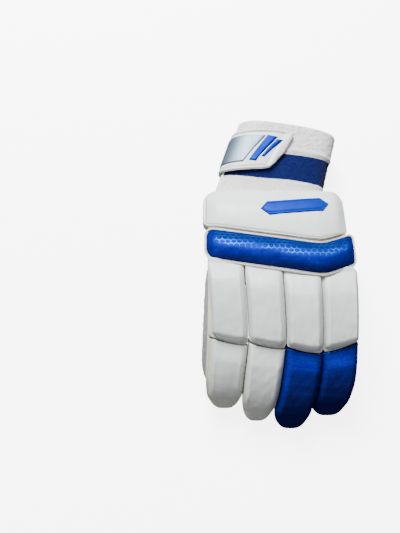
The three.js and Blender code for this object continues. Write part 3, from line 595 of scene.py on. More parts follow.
def pad_object(finger, tip):
    """One finger pad: a padded block with a flat stitched border, hollow underneath for the stall."""
    reach, little = finger.reach, finger.name == "little"
    blue = tip and finger.number > 1
    kind = "upper" if not tip else "blue tip" if blue else "white tip"
    thickness, facet_from, facet_length, facet_low = PAD_KINDS[kind]
    half_gap = PAD_GAP / reach / 2
    if tip:
        start, end = finger.fold + half_gap, 1 + TIP_COVER / reach
    else:
        start, end = -band_low(finger.centre_x(0)) / reach - PAD_SKIRT / reach, finger.fold - half_gap
    length = (end - start) * reach
    v = evenly(0, 1, SAMPLE / length, 0.75)
    u = evenly(-1, 1, SAMPLE / OUTER_PAD_HALF, 0.45)
    vs, us = np.meshgrid(v, u, indexing="ij")
    share = mix(start, end, vs)
    # The joint line between the two pads slants and bows
    near = np.clip(1 - np.abs(share - finger.fold) / SLANT_FADE, 0, 1)
    skewed = share - finger.slant * FINGER_PITCH / 2 / reach * near * us
    skewed = skewed + 1.1 / reach * (1 - us**2) * eased(near, 0.55, 1)
    if tip:
        half = (1 - np.clip((vs - 0.6) / 0.4, 0, 1) ** 3) ** (1 / 2.6)
        height = (1 - np.clip((vs - 0.27) / 0.73, 0, 1) ** 2.1) ** (1 / 1.7)
    else:
        half = 1 - rolled((1 - vs) * length, PAD_CORNER) / OUTER_PAD_HALF
        height = np.ones_like(half)

    # Distances from the edges, in millimetres
    left, right = finger.lane(-share * reach)
    half_width = (right - left) / 2 * half
    plan = np.stack([us * half_width, share * reach], -1)
    to_left, to_right = (line_distance(plan, plan[:, k]) for k in (0, -1))
    to_top, to_low = vs * length, (1 - vs) * length
    spread = finger.spread(-share * reach) if little else 0

    # How far the foam has swelled at its sides, and the soft ridges along them
    if finger.name == "index":
        beside = np.maximum(short_of(to_left, 0.7, 4.6), short_of(to_right, 0.5, 3.8))
        left_crest, right_crest = 5.0, 4.1
    else:
        beside = np.maximum(short_of(to_left, 0.4 + 0.9 * spread, 4.2), short_of(to_right, 0.2, 6.0))
        left_crest, right_crest = 4.2 + 0.9 * spread, 5.8
    sides = np.sin(np.pi / 2 * (1 - beside))
    from_ridge = np.minimum(np.abs(to_left - left_crest), np.abs(to_right - right_crest))
    if blue:
        sides = dome(to_left, 0.2, 5.5) * dome(to_right, 0.2, 6.5)
    elif tip:
        lower_part = eased(vs, 0.55, 0.75)
        sides = mix(sides, dome(np.minimum(to_left, to_right), 1.5, 8.5), lower_part)
        from_ridge = from_ridge + 9 * lower_part
    else:
        # The low corners are rounded where the side and the low slope meet
        sides = np.sin(np.pi / 2 * np.clip(1 - np.hypot(beside, short_of(to_low, 0.8, 7.0)), 0, 1))
    ramp = np.clip((to_top - facet_from) / facet_length, 0, 2)
    facet = facet_low + (1 - facet_low) * (ramp + 1 - np.sqrt((ramp - 1) ** 2 + 0.012)) / 2
    plateau = sides * facet * (1.03 - 0.05 * us**2)
    ridge = 0.0 if blue else 0.3 * np.exp(-((from_ridge / 1.1) ** 2)) * sides * eased(ramp, 0.75, 1.1)
    border = np.minimum(np.minimum(to_left, to_right), np.minimum(to_top, to_low + (40 if tip else 0)))
    rise = thickness * (PAD_FLANGE + (1 - PAD_FLANGE) * plateau) - rolled(border, 1.1) + ridge
    flat = np.stack([plan[..., 0], plan[..., 1], np.full_like(share, 40.0 * finger.number)], -1)
    rise = rise + 0.3 * plateau * ripple(flat, 26, finger.number + (10 if tip else 0), (1.6, 0.8, 0.3))
    rise = rise + 0.13 * plateau * ripple(flat, 8, finger.number + (30 if tip else 20), (1, 1, 0))
    middle = STALL_HALF_HEIGHT * TIP_MIDDLE if tip else STALL_HALF_HEIGHT
    lift = mix(middle, STALL_HALF_HEIGHT + rise, height)

    def place(shares, lifts, across, halves):
        point, up = finger.spot(shares)
        found = point + up * lifts[..., None]
        left, right = finger.lane(found[..., 1])
        found[..., 0] = (left + right) / 2 + across * halves * (right - left) / 2
        if finger.name == "index" and not tip:
            far = np.clip(1 - (shares - start) * reach / INDEX_CORNER, 0, 1)
            found[..., 0] -= INDEX_CORNER * (1 - np.sqrt(1 - far**2)) * (1 + across) / 2
        return found

    top = place(skewed, lift, us, half)

    # The inside hugs the stall, with a gap
    if tip:
        skirt = -STALL_HALF_HEIGHT * Track(*SKIRT)(v)[0]
        depth = mix(middle, skirt, np.maximum(height, half)[:, 0])
    else:
        depth = np.full(len(v), STALL_HALF_HEIGHT - PAD_SKIRT)
    room = STALL_HALF_WIDTH + CLEARANCE
    off = (left + right) / 2 + us * half_width - finger.centre_x(-share * reach)
    hug = (STALL_HALF_HEIGHT + CLEARANCE) * swell(np.abs(off / room), STALL_POWER)
    if tip:
        past = np.clip((share * reach - (reach - STALL_HALF_WIDTH)) / room, 0, 1)
        hug = hug * np.sqrt(1 - past**2)
    inner = np.minimum(np.maximum(hug, depth[:, None]), lift - 1.2 * height)
    under = place(skewed, inner, us, half * np.where(half > 0.2, 0.97, 1))
    if not tip:
        clear = hand_top(under[..., 0], under[..., 1], CLEARANCE)
        over_hand = under[..., 1] > -STALL_ROOT - 1
        under[..., 2] = np.where(over_hand, np.maximum(under[..., 2], clear), under[..., 2])
        under[..., 2] = np.minimum(under[..., 2], top[..., 2] - 0.5)

    def wall(column):
        edge = [column]
        lows = np.minimum(depth, lift[:, column])
        lifts = mix(lift[:, edge], lows[:, None], WALL_STEPS[None])
        tuck = 1 - 0.05 * WALL_STEPS[None] ** 2
        shares = np.repeat(skewed[:, edge], len(WALL_STEPS), 1)
        return place(shares, lifts, us[:, edge] * np.ones_like(lifts), half[:, edge] * tuck)

    right_wall, left_wall = wall(-1), wall(0)
    rings = wrapped(top, right_wall, under, left_wall)
    if tip:
        rings[..., 2] = np.maximum(rings[..., 2], TIP_FLOOR)

    # What the materials read
    # rim: painted shade on the pads' sloping sides, walls and undersides, rising toward the tips' lower ends
    rim = np.clip(1 - sides, 0, 1)
    if tip:
        rim = np.maximum(rim, 0.3 + 0.6 * eased(vs, 0.4, 0.95))
    seam = np.clip(1 - np.abs(border - 1.9) / 1.0, 0, 1) * (0 if blue else 1)
    cream = eased(1.0 + 0.9 * spread - to_left, -0.4, 0.4) if little else 0 * rim
    right_flat = unfolded(flat[:, -1], top[:, -1], right_wall, 0, 1)
    left_flat = unfolded(flat[:, 0], top[:, 0], left_wall, 0, -1)
    side, inside = np.ones((len(v), len(WALL_STEPS))), np.ones_like(rim)
    marks = {
        "flat": wrapped(flat, right_flat, flat, left_flat),
        "rim": wrapped(rim, side, inside, side),
        "seam": 0.35 * wrapped(seam, 0 * side, 0 * inside, 0 * side),
        "cream": wrapped(cream, 0.6 * side, 0.6 * inside, 0.6 * side),
    }
    return tube_object(finger.name + ("_pad_tip_cushion" if tip else "_pad_upper_cushion"), rings, marks)


def band_low(x):
    """Where the room for the band and its edge ends, toward the fingers."""
    middle = HAND_LENGTH * knuckles_at(x / HAND_HALF_WIDTH)[0]
    return middle - BAND_WIDTH / 2 - PIPING_WIDTH - 2 * CLEARANCE


# Band and panel across the hand


class Cushion:
    """A cushion across the hand between a low and a high edge."""

    def __init__(self, left, right, corners, thickness, flange):
        self.left, self.right, self.corners = left, right, corners
        self.thickness, self.flange = thickness, flange

    def bounds(self, x, outset=0.0):
        """The low and high edge at a place across, with the corners rounded."""
        low, high = self.edges(x)
        from_end = np.where(x < 0, x + self.left, self.right - x) + outset
        left_low, left_high, right_low, right_high = self.corners
        low_corner, high_corner = np.where(x < 0, left_low, right_low), np.where(x < 0, left_high, right_high)
        return (
            low - outset + rolled(from_end, low_corner + outset),
            high + outset - rolled(from_end, high_corner + outset),
            from_end,
        )

    def surface(self, x, y):
        """Height of the upper side."""
        crown = knuckles_at(x / HAND_HALF_WIDTH)[1]
        rise = self.thickness * (self.flange + (1 - self.flange) * self.plateau(x, y))
        return hand_height(y) + HAND_HALF_HEIGHT * crown + rise

    def path(self, outset):
        """The outline as an evenly spaced closed line, outset from the edge."""
        x = mix(-self.left - outset, self.right + outset, (1 - np.cos(np.linspace(0, np.pi, 900))) / 2)
        low, high, _ = self.bounds(x, outset)
        line = np.concatenate([np.stack([x, high], -1), np.stack([x, low], -1)[::-1]])
        line = np.vstack([line, line[:1]])
        run = lengths_along(line)
        even = np.linspace(0, run[-1], int(run[-1] / SAMPLE))[:-1]
        return np.stack([np.interp(even, run, line[:, k]) for k in range(2)], -1)

    def body(self, name, seed, soft):
        """The cushion as one closed body, with soft as the height of its uneven places."""
        x = evenly(-self.left, self.right, SAMPLE, 0.6)
        t = evenly(0, 1, SAMPLE / BAND_WIDTH, 0.5)
        low, high, from_end = self.bounds(x)
        xs, ts = np.meshgrid(x, t, indexing="ij")
        y = mix(low[:, None], high[:, None], ts)
        border = np.minimum(np.minimum(y - low[:, None], high[:, None] - y), from_end[:, None])
        flat = np.stack([xs, y, 0 * xs], -1)
        plateau = self.plateau(xs, y)
        z = self.surface(xs, y) - rolled(border, 1.3)
        z = z + soft * plateau * ripple(flat, 34, seed, (1.0, 1.4, 0))
        z = z + 0.3 * soft * plateau * ripple(flat, 9, seed + 1)
        seam = self.seam(xs, y)
        z = z - 0.6 * seam
        top = np.stack([xs, y, z], -1)
        floor = hand_height(y) + HAND_HALF_HEIGHT * SIDE_HANG
        inner = np.maximum(floor, np.where(hand_beside(xs, y), floor, hand_top(xs, y, CLEARANCE)))
        inner = np.where(y > HAND_LENGTH - 1, np.maximum(inner, cuff_top(xs, y, CLEARANCE)), inner)
        under = np.stack([xs, y, np.minimum(inner, z - 0.6)], -1)

        def wall(column):
            line = top[:, column]
            found = np.repeat(line[:, None], len(WALL_STEPS), 1)
            foot = np.minimum(under[:, column, 2], floor[:, column])
            found[..., 2] = mix(line[:, 2][:, None], foot[:, None], WALL_STEPS[None])
            return found

        high_wall, low_wall = wall(-1), wall(0)
        # Painted shade: the cover is marked darker near its borders and, on the band, near its ends
        edge_mark = np.maximum(1 - dome(border, 0, 4.5), self.end_shade(from_end)[:, None])
        side = np.ones((len(x), len(WALL_STEPS)))
        depth = np.cumsum(np.linalg.norm(np.diff(top, axis=1, prepend=top[:, :1]), axis=-1), axis=1)
        flat = np.stack([xs, depth + low[:, None], 0 * xs], -1)
        high_flat = unfolded(flat[:, -1], top[:, -1], high_wall, 1, 1)
        low_flat = unfolded(flat[:, 0], top[:, 0], low_wall, 1, -1)
        marks = {
            "flat": wrapped(flat, high_flat, flat, low_flat),
            "rim": wrapped(edge_mark, side, np.ones_like(edge_mark), side),
            "seam": wrapped(seam, 0 * side, 0 * seam, 0 * side),
            "cream": wrapped(self.flange_colour(xs, y), side, 0 * seam, side),
        }
        return tube_object(name, wrapped(top, high_wall, under, low_wall), marks)

    def flange_colour(self, x, y):
        """1 where the border is cream."""
        return np.zeros_like(x)

    def seam(self, x, y):
        """1 on the stitched line and 0 beside it."""
        return np.zeros_like(x)

    def end_shade(self, from_end):
        """How much painted shade darkens the cover near its two ends."""
        return np.zeros_like(from_end)


def hand_beside(x, y):
    """Whether a place is outside the hand's own outline."""
    _, width, shift, _ = hand_at(y / HAND_LENGTH)
    return np.abs(x - HAND_HALF_WIDTH * shift) >= HAND_HALF_WIDTH * width + CLEARANCE


class Band(Cushion):
    def edges(self, x):
        middle = HAND_LENGTH * knuckles_at(x / HAND_HALF_WIDTH)[0]
        return middle - BAND_WIDTH / 2, middle + BAND_WIDTH / 2

    def plateau(self, x, y):
        low, high, from_end = self.bounds(x)
        ends = np.clip(0.2 + from_end / (1.3 * END_SLOPE), 0, 1)
        across = np.clip((y - low) / (high - low), 0, 1)
        return np.sin(np.pi * across) ** 0.8 * np.sin(np.pi / 2 * ends)

    def end_shade(self, from_end):
        return 1 - eased(from_end, 2, 15)


class Panel(Cushion):
    def edges(self, x):
        return band.edges(x)[1] + PIPING_WIDTH + 2 * CLEARANCE, np.full_like(x, HAND_LENGTH + PANEL_OVERLAP)

    def plateau(self, x, y):
        low, high, _ = self.bounds(x)
        side = np.where(x < 0, dome(x + self.left, 2.6, 12), dome(self.right - x, 0.4, 13))
        step = 0.42 * dome(y - low, 0, 1.8) + 0.58 * dome(y - low, 0.5, 26)
        return step * dome(high - y, 0, 22) ** 0.8 * side

    def seam(self, x, y):
        low, high, _ = self.bounds(x)
        beside_end = np.where(y > low + SEAM_IN, np.abs(x + self.left - SEAM_IN), 9)
        near = np.minimum(np.abs(y - low - SEAM_IN), beside_end)
        return np.clip(1 - near / 1.1, 0, 1) * (1 - eased(x, 50, 58)) * (y < high - 3)

    def flange_colour(self, x, y):
        low, _, _ = self.bounds(x)
        return eased(low + 1.6 + 2.6 * eased(x, 20, 45) - y, -0.5, 0.5)


# Corners: left low, left high, right low, right high
band_half = HAND_HALF_WIDTH + BAND_OVERHANG
band = Band(band_half, band_half, (9, 7.5, 3, 4.5), BAND_PAD, BAND_FLANGE)
panel = Panel(PANEL_LEFT, PANEL_RIGHT, (7, 12, 4, 12), PANEL_PAD, PANEL_FLANGE)


# Cuff and strap


def cuff_frame(share):
    """The cuff's middle line, its sideways direction and its halves."""
    yaw = CUFF_YAW * share
    mouth_height = CUFF_MOUTH_HALF[1] + STRAP_INNER + STRAP_THICKNESS - CUFF_PRESS
    centre = np.stack(
        [
            CUFF_ROOT_SHIFT + CUFF_LEAN * share,
            HAND_LENGTH + CLEARANCE + CUFF_LENGTH * share,
            mix(hand_height(np.array(HAND_LENGTH, float)), mouth_height, share),
        ],
        -1,
    )
    across = np.stack([np.cos(yaw), np.sin(yaw), 0 * yaw], -1)
    half_width, half_height = (mix(a, b, share) for a, b in zip(CUFF_ROOT_HALF, CUFF_MOUTH_HALF))
    return centre, across, half_width, half_height


def cuff_point(turn, share, offset):
    """A place on the cuff: turn goes round it from +x over the top, offset stands out from it."""
    turn, share, offset = np.broadcast_arrays(*(np.asarray(v, float) for v in (turn, share, offset)))
    centre, across, half_width, half_height = cuff_frame(share)
    side, rise = (squared(wave(2 * np.pi * turn), CUFF_POWER) for wave in (np.cos, np.sin))
    return (
        centre
        + across * ((half_width + offset) * side)[..., None]
        + np.array((0, 0, 1)) * ((half_height + offset) * rise)[..., None]
    )


def cuff_top(x, y, grow):
    """The height of the cuff's upper skin near its root."""
    share = (y - HAND_LENGTH - CLEARANCE) / CUFF_LENGTH
    centre, _, half_width, half_height = cuff_frame(share)
    off = np.abs(x - centre[..., 0]) / (half_width + grow)
    return np.where(off < 1, centre[..., 2] + (half_height + grow) * swell(off, CUFF_POWER), -1)


def slit_turn(height, share):
    """How far from the slit's middle a height above it lies, as a share of a full turn."""
    half_height = mix(CUFF_ROOT_HALF[1], CUFF_MOUTH_HALF[1], share)
    return np.arcsin(np.clip(height / half_height, 0, 1) ** (CUFF_POWER / 2)) / (2 * np.pi)


def hem_offset(share, x=0.0):
    """The thicker strip at the cuff's mouth stands out from the rest."""
    return HEM_RISE * eased(share, 0.608 - 0.0002 * x, 0.63 - 0.0002 * x)


def even_turns(count, low, high):
    """Turns round the cuff that are evenly spaced along its section."""
    t = np.linspace(low, high, 4000)
    run = lengths_along(cuff_point(t, 0.5, 0))
    return np.interp(np.linspace(0, run[-1], count), run, t)


def cuff_object():
    """The towelling tube with its slit, as one sheet with a thickness."""
    shares = evenly(0, 1, 1.3 / CUFF_LENGTH, 0.3)
    open_share = np.sqrt(np.clip((shares - 0.07) / 0.08, 0, 1))
    gap = slit_turn(0.05 + (SLIT_WIDTH / 2 - 0.05) * open_share, shares)
    turn = 2 * even_turns(200, -0.5, 0.5)[None, :] * (0.5 - gap[:, None])
    share = np.broadcast_to(shares[:, None], turn.shape)
    across = 54 * np.cos(2 * np.pi * turn)
    outside = cuff_point(turn, share, hem_offset(share, across))
    inside = cuff_point(turn, share, -CUFF_WALL)
    # Soft lumps, a roll along the hem, and rounded rims at the root and the mouth
    lump = 0.18 * ripple(outside, 5.0, 3) + 0.3 * ripple(outside, 30, 4)
    lump = lump + 0.8 * np.exp(-(((share - 0.645 + 0.0002 * across) / 0.018) ** 2)) * eased(across, -36, -24)
    rounding = (1 - np.clip(np.minimum(share, 1 - share) * CUFF_LENGTH / 1.6, 0, 1)) ** 2
    outside = cuff_point(turn, share, hem_offset(share, across) + (lump - 1.2 * rounding))
    inside = cuff_point(turn, share, -CUFF_WALL + 0.4 * ripple(inside, 6, 5) - 0.3 + 1.0 * rounding)
    lips = np.linspace(0, 1, 5)[1:-1]

    def lip(column):
        return mix(outside[:, [column]], inside[:, [column]], lips[None, :, None])

    def beside(values, column):
        return np.repeat(values[:, [column]], len(lips), 1)

    rings = wrapped(outside, lip(-1), inside, lip(0))
    along = np.repeat(shares[:, None], rings.shape[1], 1)
    over = wrapped(across, beside(across, -1), across, beside(across, 0))
    hidden = 0 * beside(across, 0)
    outer = wrapped(np.ones_like(across), hidden, 0 * across, hidden)
    stripe = np.where(outer > 0, stripe_at(over, along), -5)
    return tube_object("cuff_towelling", rings, {"stripe": stripe, "outer": outer}, hollow=True)


def stripe_at(across, share):
    """How far in millimetres a place is inside the wide blue stripe's two slanting edges."""
    low, high = 0.25 - 0.0011 * across, 0.595 - 0.0002 * across
    return np.minimum(share - low, high - share) * CUFF_LENGTH


def binding_object(side):
    """A folded strip over one edge of the slit. Side is 1 for the back's edge and -1 for the palm's."""
    shares = evenly(0.085, 0.985, SAMPLE / CUFF_LENGTH, 0.3)
    edge = SLIT_WIDTH / 2 - CLEARANCE - BINDING
    far = SLIT_WIDTH / 2 + BINDING_WIDTH
    heights = evenly(edge, far, 0.45)
    turn = 0.5 - side * slit_turn(heights[None, :], shares[:, None])
    share = np.broadcast_to(shares[:, None], turn.shape)
    drop = rolled(np.minimum(heights - edge, far - heights) / 0.9, 1.0)
    gather = 0.12 * np.sin(2 * np.pi * share * CUFF_LENGTH / 2.4) * eased(heights[None, :], far - 2.2, far - 1)
    top = hem_offset(share) + 0.2
    outer = cuff_point(turn, share, CLEARANCE + top + BINDING * (1 - 0.9 * drop[None, :]) + gather - 0.2)
    inner = cuff_point(turn, share, -CUFF_WALL - CLEARANCE - BINDING * (1 - 0.8 * drop[None, :]))
    # The fold goes over the edge, and the two flaps lie on the cuff's two sides
    tip = len([h for h in heights if h < SLIT_WIDTH / 2])
    flap_out = cuff_point(turn[:, tip:], share[:, tip:], CLEARANCE + top[:, tip:] - 0.2)
    flap_in = cuff_point(turn[:, tip:], share[:, tip:], -CUFF_WALL - CLEARANCE)
    rings = np.concatenate([outer, flap_out[:, ::-1], flap_in, inner[:, ::-1]], 1)
    flat = np.stack([share * CUFF_LENGTH, np.broadcast_to(heights, turn.shape), 0 * share], -1)
    flats = np.concatenate([flat, flat[:, tip:][:, ::-1], flat[:, tip:], flat[:, ::-1]], 1)
    name = "cuff_binding_top_strip" if side > 0 else "cuff_binding_bottom_strip"
    return tube_object(name, rings, {"flat": flats, "rim": np.full(rings.shape[:2], 0.4)}, hollow=True)


# The strap from under the wrist to its end on the back: low turn, high turn, low, high
strap_at = Track(
    (0, 0.75, 0.75, 0.36, 0.83),
    (0.07, 0.68, 0.68, 0.36, 0.83),
    (0.13, 0.62, 0.62, 0.36, 0.83),
    (0.19, 0.56, 0.56, 0.36, 0.83),
    (0.25, 0.5, 0.5, 0.352, 0.832),
    (0.3, 0.45, 0.45, 0.34, 0.836),
    (0.35, 0.4, 0.4, 0.336, 0.845),
    (0.41, 0.34, 0.34, 0.342, 0.86),
    (0.46, 0.29, 0.285, 0.355, 0.878),
    (0.485, 0.265, 0.252, 0.37, 0.88),
    (0.4945, 0.256, 0.245, 0.4, 0.86),
    (0.4985, 0.252, 0.243, 0.46, 0.81),
)


def strap_spot(along, across, offset):
    """A place on the strap. Across goes from 0 at its low edge to 1 at its high edge."""
    low_turn, high_turn, low, high = strap_at(along)
    turn, share = mix(low_turn, high_turn, across), mix(low, high, across)
    return cuff_point(turn, share, offset)


def strap_distance(along, across):
    """Distances from the low edge, the high edge and the end, in millimetres."""
    _, _, low, high = strap_at(along)
    width = (high - low) * CUFF_LENGTH
    return across * width, (1 - across) * width, (strap_at.at[-1] - along) * CUFF_GIRTH


def strap_object():
    """The strap, with a raised lip round its edge and a faint pillow inside it."""
    last = strap_at.at[-1]
    along = last * (1 - (1 - np.linspace(0, 1, int(170 / SAMPLE))) ** 1.25)
    a, w = np.meshgrid(along, evenly(0, 1, SAMPLE / STRAP_WIDTH, 0.5), indexing="ij")
    low, high, end = strap_distance(a, w)
    border = np.minimum(np.minimum(low, high), end)
    lip = 0.55 * np.exp(-(((border - 1.5) / 1.0) ** 2))
    lip = lip - 0.3 * np.exp(-(((border - STRAP_STITCH_IN) / 0.7) ** 2))
    pillow = 0.5 * dome(border, 3.4, 9)
    wave = 0.25 * ripple(np.stack([a * 260, w * STRAP_WIDTH, 0 * a], -1), 30, 8)
    raised = STRAP_OUTER - 0.35 + lip + pillow * 0.6 - rolled(border, 1.1) + wave * eased(border, 3, 9)
    outer, inner = strap_spot(a, w, raised), strap_spot(a, w, STRAP_INNER + 0 * a)
    steps = np.linspace(0, 1, 4)[1:-1][None, :, None]
    high_side, low_side = mix(outer[:, [-1]], inner[:, [-1]], steps), mix(inner[:, [0]], outer[:, [0]], steps)
    rings = wrapped(outer, high_side, inner, low_side[:, ::-1])
    rings[..., 2] = np.maximum(rings[..., 2], 0)
    flat = np.stack([a * CUFF_GIRTH, w * STRAP_WIDTH, 0 * a], -1)
    # Painted shade: rim darkens the strap toward its edge, and seam darkens its stitched groove
    rim = np.clip(1 - border / 5, 0, 1)
    seam = np.clip(1 - np.abs(np.minimum(low, high) - STRAP_STITCH_IN) / 0.9, 0, 1) * (end > 3)
    side = np.ones((len(along), 2))
    marks = {
        "flat": wrapped(flat, np.repeat(flat[:, [-1]], 2, 1), flat, np.repeat(flat[:, [0]], 2, 1)),
        "rim": wrapped(rim, side, np.ones_like(rim), side),
        "seam": wrapped(seam, 0 * side, 0 * seam, 0 * side),
    }
    return tube_object("strap_band", rings, marks, hollow=True)


def raised_patch(name, rows, thickness):
    """A thin raised patch on the strap between rows of low turn, high turn, low and high."""
    table = Track(*[(i, *row) for i, row in enumerate(rows)])
    k = evenly(0, len(rows) - 1, 0.06 if len(rows) > 3 else 0.12, 0.5)
    w = evenly(0, 1, 0.03, 0.5)
    ks, ws = np.meshgrid(k, w, indexing="ij")
    low_turn, high_turn, low, high = table(ks)
    turn, share = mix(low_turn, high_turn, ws), mix(low, high, ws)
    run = lengths_along(cuff_point(turn, share, STRAP_OUTER)[:, len(w) // 2])
    to_side = np.minimum(ws, 1 - ws) * (high - low) * CUFF_LENGTH
    border = np.minimum(to_side, np.minimum(run, run[-1] - run)[:, None])
    drop = thickness * (1 - dome(border, 0, 1))
    outer = cuff_point(turn, share, STRAP_OUTER + thickness - drop * 0.95)
    inner = cuff_point(turn, share, STRAP_OUTER - 0.05)
    flat = np.stack([run[:, None] + 0 * ws, ws, 0 * ws], -1)
    marks = {"flat": np.concatenate([flat, flat[:, ::-1]], 1)}
    return tube_object(name, np.concatenate([outer, inner[:, ::-1]], 1), marks)


# Looks


def put(tree, socket, value):
    """Links a socket to a node's output, or gives it a value."""
    if isinstance(value, Wire):
        value = value.socket
    if isinstance(value, bpy.types.NodeSocket):
        tree.links.new(value, socket)
    else:
        socket.default_value = value


def new_node(tree, kind, settings=None, sockets=None):
    """A node with its settings, and then the values or links of its sockets."""
    made = tree.nodes.new(kind)
    for key, value in (settings or {}).items():
        if key == "stops":
            ramp = made.color_ramp
            for place, _ in value[len(ramp.elements):]:
                ramp.elements.new(place)
            for element, (place, colour) in zip(ramp.elements, value):
                element.position, element.color = place, colour
        else:
            setattr(made, key, value)
    for key, value in (sockets or {}).items():
        put(tree, made.inputs[key], value)
    return made


class Wire:
    """One output of a node, so that maths on a surface reads like maths."""

    def __init__(self, finish, socket):
        self.finish, self.socket = finish, socket

    def maths(self, operation, *others):
        values = dict(enumerate((self, *others)))
        return self.finish.node("ShaderNodeMath", {"operation": operation}, values)

    def __add__(self, other):
        return self.maths("ADD", other)

    def __sub__(self, other):
        return self.maths("SUBTRACT", other)

    def __mul__(self, other):
        return self.maths("MULTIPLY", other)

    def __truediv__(self, other):
        return self.maths("DIVIDE", other)

    def __rsub__(self, other):
        return (self * -1) + other

    __radd__, __rmul__ = __add__, __mul__

    def most(self, other):
        return self.maths("MAXIMUM", other)

    def between(self, low, high, start=0.0, end=1.0):
        """Goes smoothly from start to end as this goes from low to high."""
        ends = {0: self, 1: low, 2: high, 3: start, 4: end}
        return self.finish.node("ShaderNodeMapRange", {"interpolation_type": "SMOOTHSTEP"}, ends)


class Finish:
    """A material and the nodes that feed it."""

    def __init__(self, name, **values):
        self.material = bpy.data.materials.new(name)
        self.material.use_nodes = True
        self.tree = self.material.node_tree
        self.shader = self.tree.nodes["Principled BSDF"]
        for key, value in values.items():
            self.feed(key.replace("_", " ").title().replace("Ior", "IOR"), value)

    def feed(self, socket, value):
        put(self.tree, self.shader.inputs[socket], value)

    def node(self, kind, settings=None, sockets=None, output=0):
        return Wire(self, new_node(self.tree, kind, settings, sockets).outputs[output])

    def mark(self, name):
        """A value kept at the points of the mesh."""
        return self.node("ShaderNodeAttribute", {"attribute_name": name}, output=2)

    def flat(self):
        """Millimetres along the surface, kept at the points of the mesh."""
        return self.node("ShaderNodeAttribute", {"attribute_name": "flat"}, output=1)

    def place(self):
        """Object coordinates, in metres."""
        return self.node("ShaderNodeTexCoord", output=3)

    def vector(self, operation, *others, output=0):
        return self.node("ShaderNodeVectorMath", {"operation": operation}, dict(enumerate(others)), output)

    def scaled(self, vector, size):
        return self.vector("MULTIPLY", vector, size)

    def parts(self, vector):
        return [self.node("ShaderNodeSeparateXYZ", None, {0: vector}, output=i) for i in range(3)]

    def joined(self, *values):
        return self.node("ShaderNodeCombineXYZ", None, dict(enumerate(values)))

    def noise(self, vector, scale, detail=3.0, roughness=0.5):
        sockets = {"Vector": vector, "Scale": scale, "Detail": detail, "Roughness": roughness}
        return self.node("ShaderNodeTexNoise", None, sockets)

    def blend(self, share, first, second):
        return self.node("ShaderNodeMix", {"data_type": "RGBA"}, {0: share, 6: first, 7: second}, output=2)

    def bump(self, height, distance, strength=1.0, under=None):
        sockets = {"Height": height, "Distance": distance, "Strength": strength}
        if under is not None:
            sockets["Normal"] = under
        return self.node("ShaderNodeBump", None, sockets)


def hexagons(finish, vector, size):
    """Distance to the nearest cell border, from 0 to 0.5, and a random value for each cell."""
    step = (1.0, math.sqrt(3), 1.0)
    half = (0.5, math.sqrt(3) / 2, 0.5)
    # Keeps the remainders positive on all sides of the glove
    far_off = (400.0, 400 * math.sqrt(3), 400)
    p = finish.scaled(vector, (1 / size, 1 / size, 0))
    cells = []
    for start in ((0, 0, 0), half):
        moved = finish.vector("SUBTRACT", p, start)
        wrapped_round = finish.vector("MODULO", finish.vector("ADD", moved, far_off), step)
        cells.append(finish.vector("SUBTRACT", wrapped_round, half))
    size_a, size_b = (finish.vector("DOT_PRODUCT", c, c, output=1) for c in cells)
    sockets = {0: size_a.maths("LESS_THAN", size_b), 4: cells[1], 5: cells[0]}
    offset = finish.node("ShaderNodeMix", {"data_type": "VECTOR"}, sockets, output=1)
    x, y, _ = finish.parts(finish.vector("ABSOLUTE", offset))
    reach = x.most(x * 0.5 + y * (math.sqrt(3) / 2))
    cell = finish.vector("SNAP", finish.vector("SUBTRACT", p, offset), (0.25, 0.25, 1))
    random = finish.node("ShaderNodeTexWhiteNoise", {"noise_dimensions": "2D"}, {"Vector": cell})
    return 0.5 - reach, random


def padded_leather(name, own_tone, shaded, grain, gloss):
    """Coated fabric over foam: fine grain, faint creases, duller in its borders and seams, and darkened there by
    painted shade.
    """
    finish = Finish(name, specular_ior_level=0.45)
    flat, rim, seam, cream = finish.flat(), finish.mark("rim"), finish.mark("seam"), finish.mark("cream")
    soft = finish.noise(finish.scaled(flat, (0.03, 0.018, 0.03)), 1.0, 4.0)
    tone = finish.blend(soft.between(0.3, 0.75), own_tone, tuple(0.93 * c for c in own_tone[:3]) + (1,))
    # Painted shade: where rim marks the sloping borders, walls, undersides and the tips' ends, the colour is
    # blended toward the shaded tone
    painted_shade = rim.between(0.3, 1.0) * finish.noise(flat, 0.35, 5.0).between(0.3, 0.8, 0.3, 0.95)
    tone = finish.blend(painted_shade, tone, shaded)
    tone = finish.blend(cream * 0.8, tone, (0.66, 0.64, 0.52, 1))
    # Painted shade in the stitched grooves: the seam mark darkens the colour there
    finish.feed("Base Color", finish.blend(seam.between(0.1, 0.8, 0, 0.85), tone, (0.2, 0.19, 0.17, 1)))
    finish.feed("Roughness", finish.noise(flat, 0.12, 3.0).between(0.3, 0.7, gloss, gloss + 0.14) + rim * 0.08)
    pebbles = finish.node("ShaderNodeTexVoronoi", {"feature": "SMOOTH_F1"}, {"Vector": flat, "Scale": 1 / grain})
    crease = finish.noise(finish.scaled(flat, (0.5, 0.12, 1)), 1.0, 5.0, 0.6)
    height = finish.bump(crease.between(0.25, 0.7), 0.0003, 0.35)
    finish.feed("Normal", finish.bump(pebbles, 0.00012, 0.5, height))
    finish.feed("Coat Weight", 0.15)
    finish.feed("Coat Roughness", 0.3)
    return finish.material


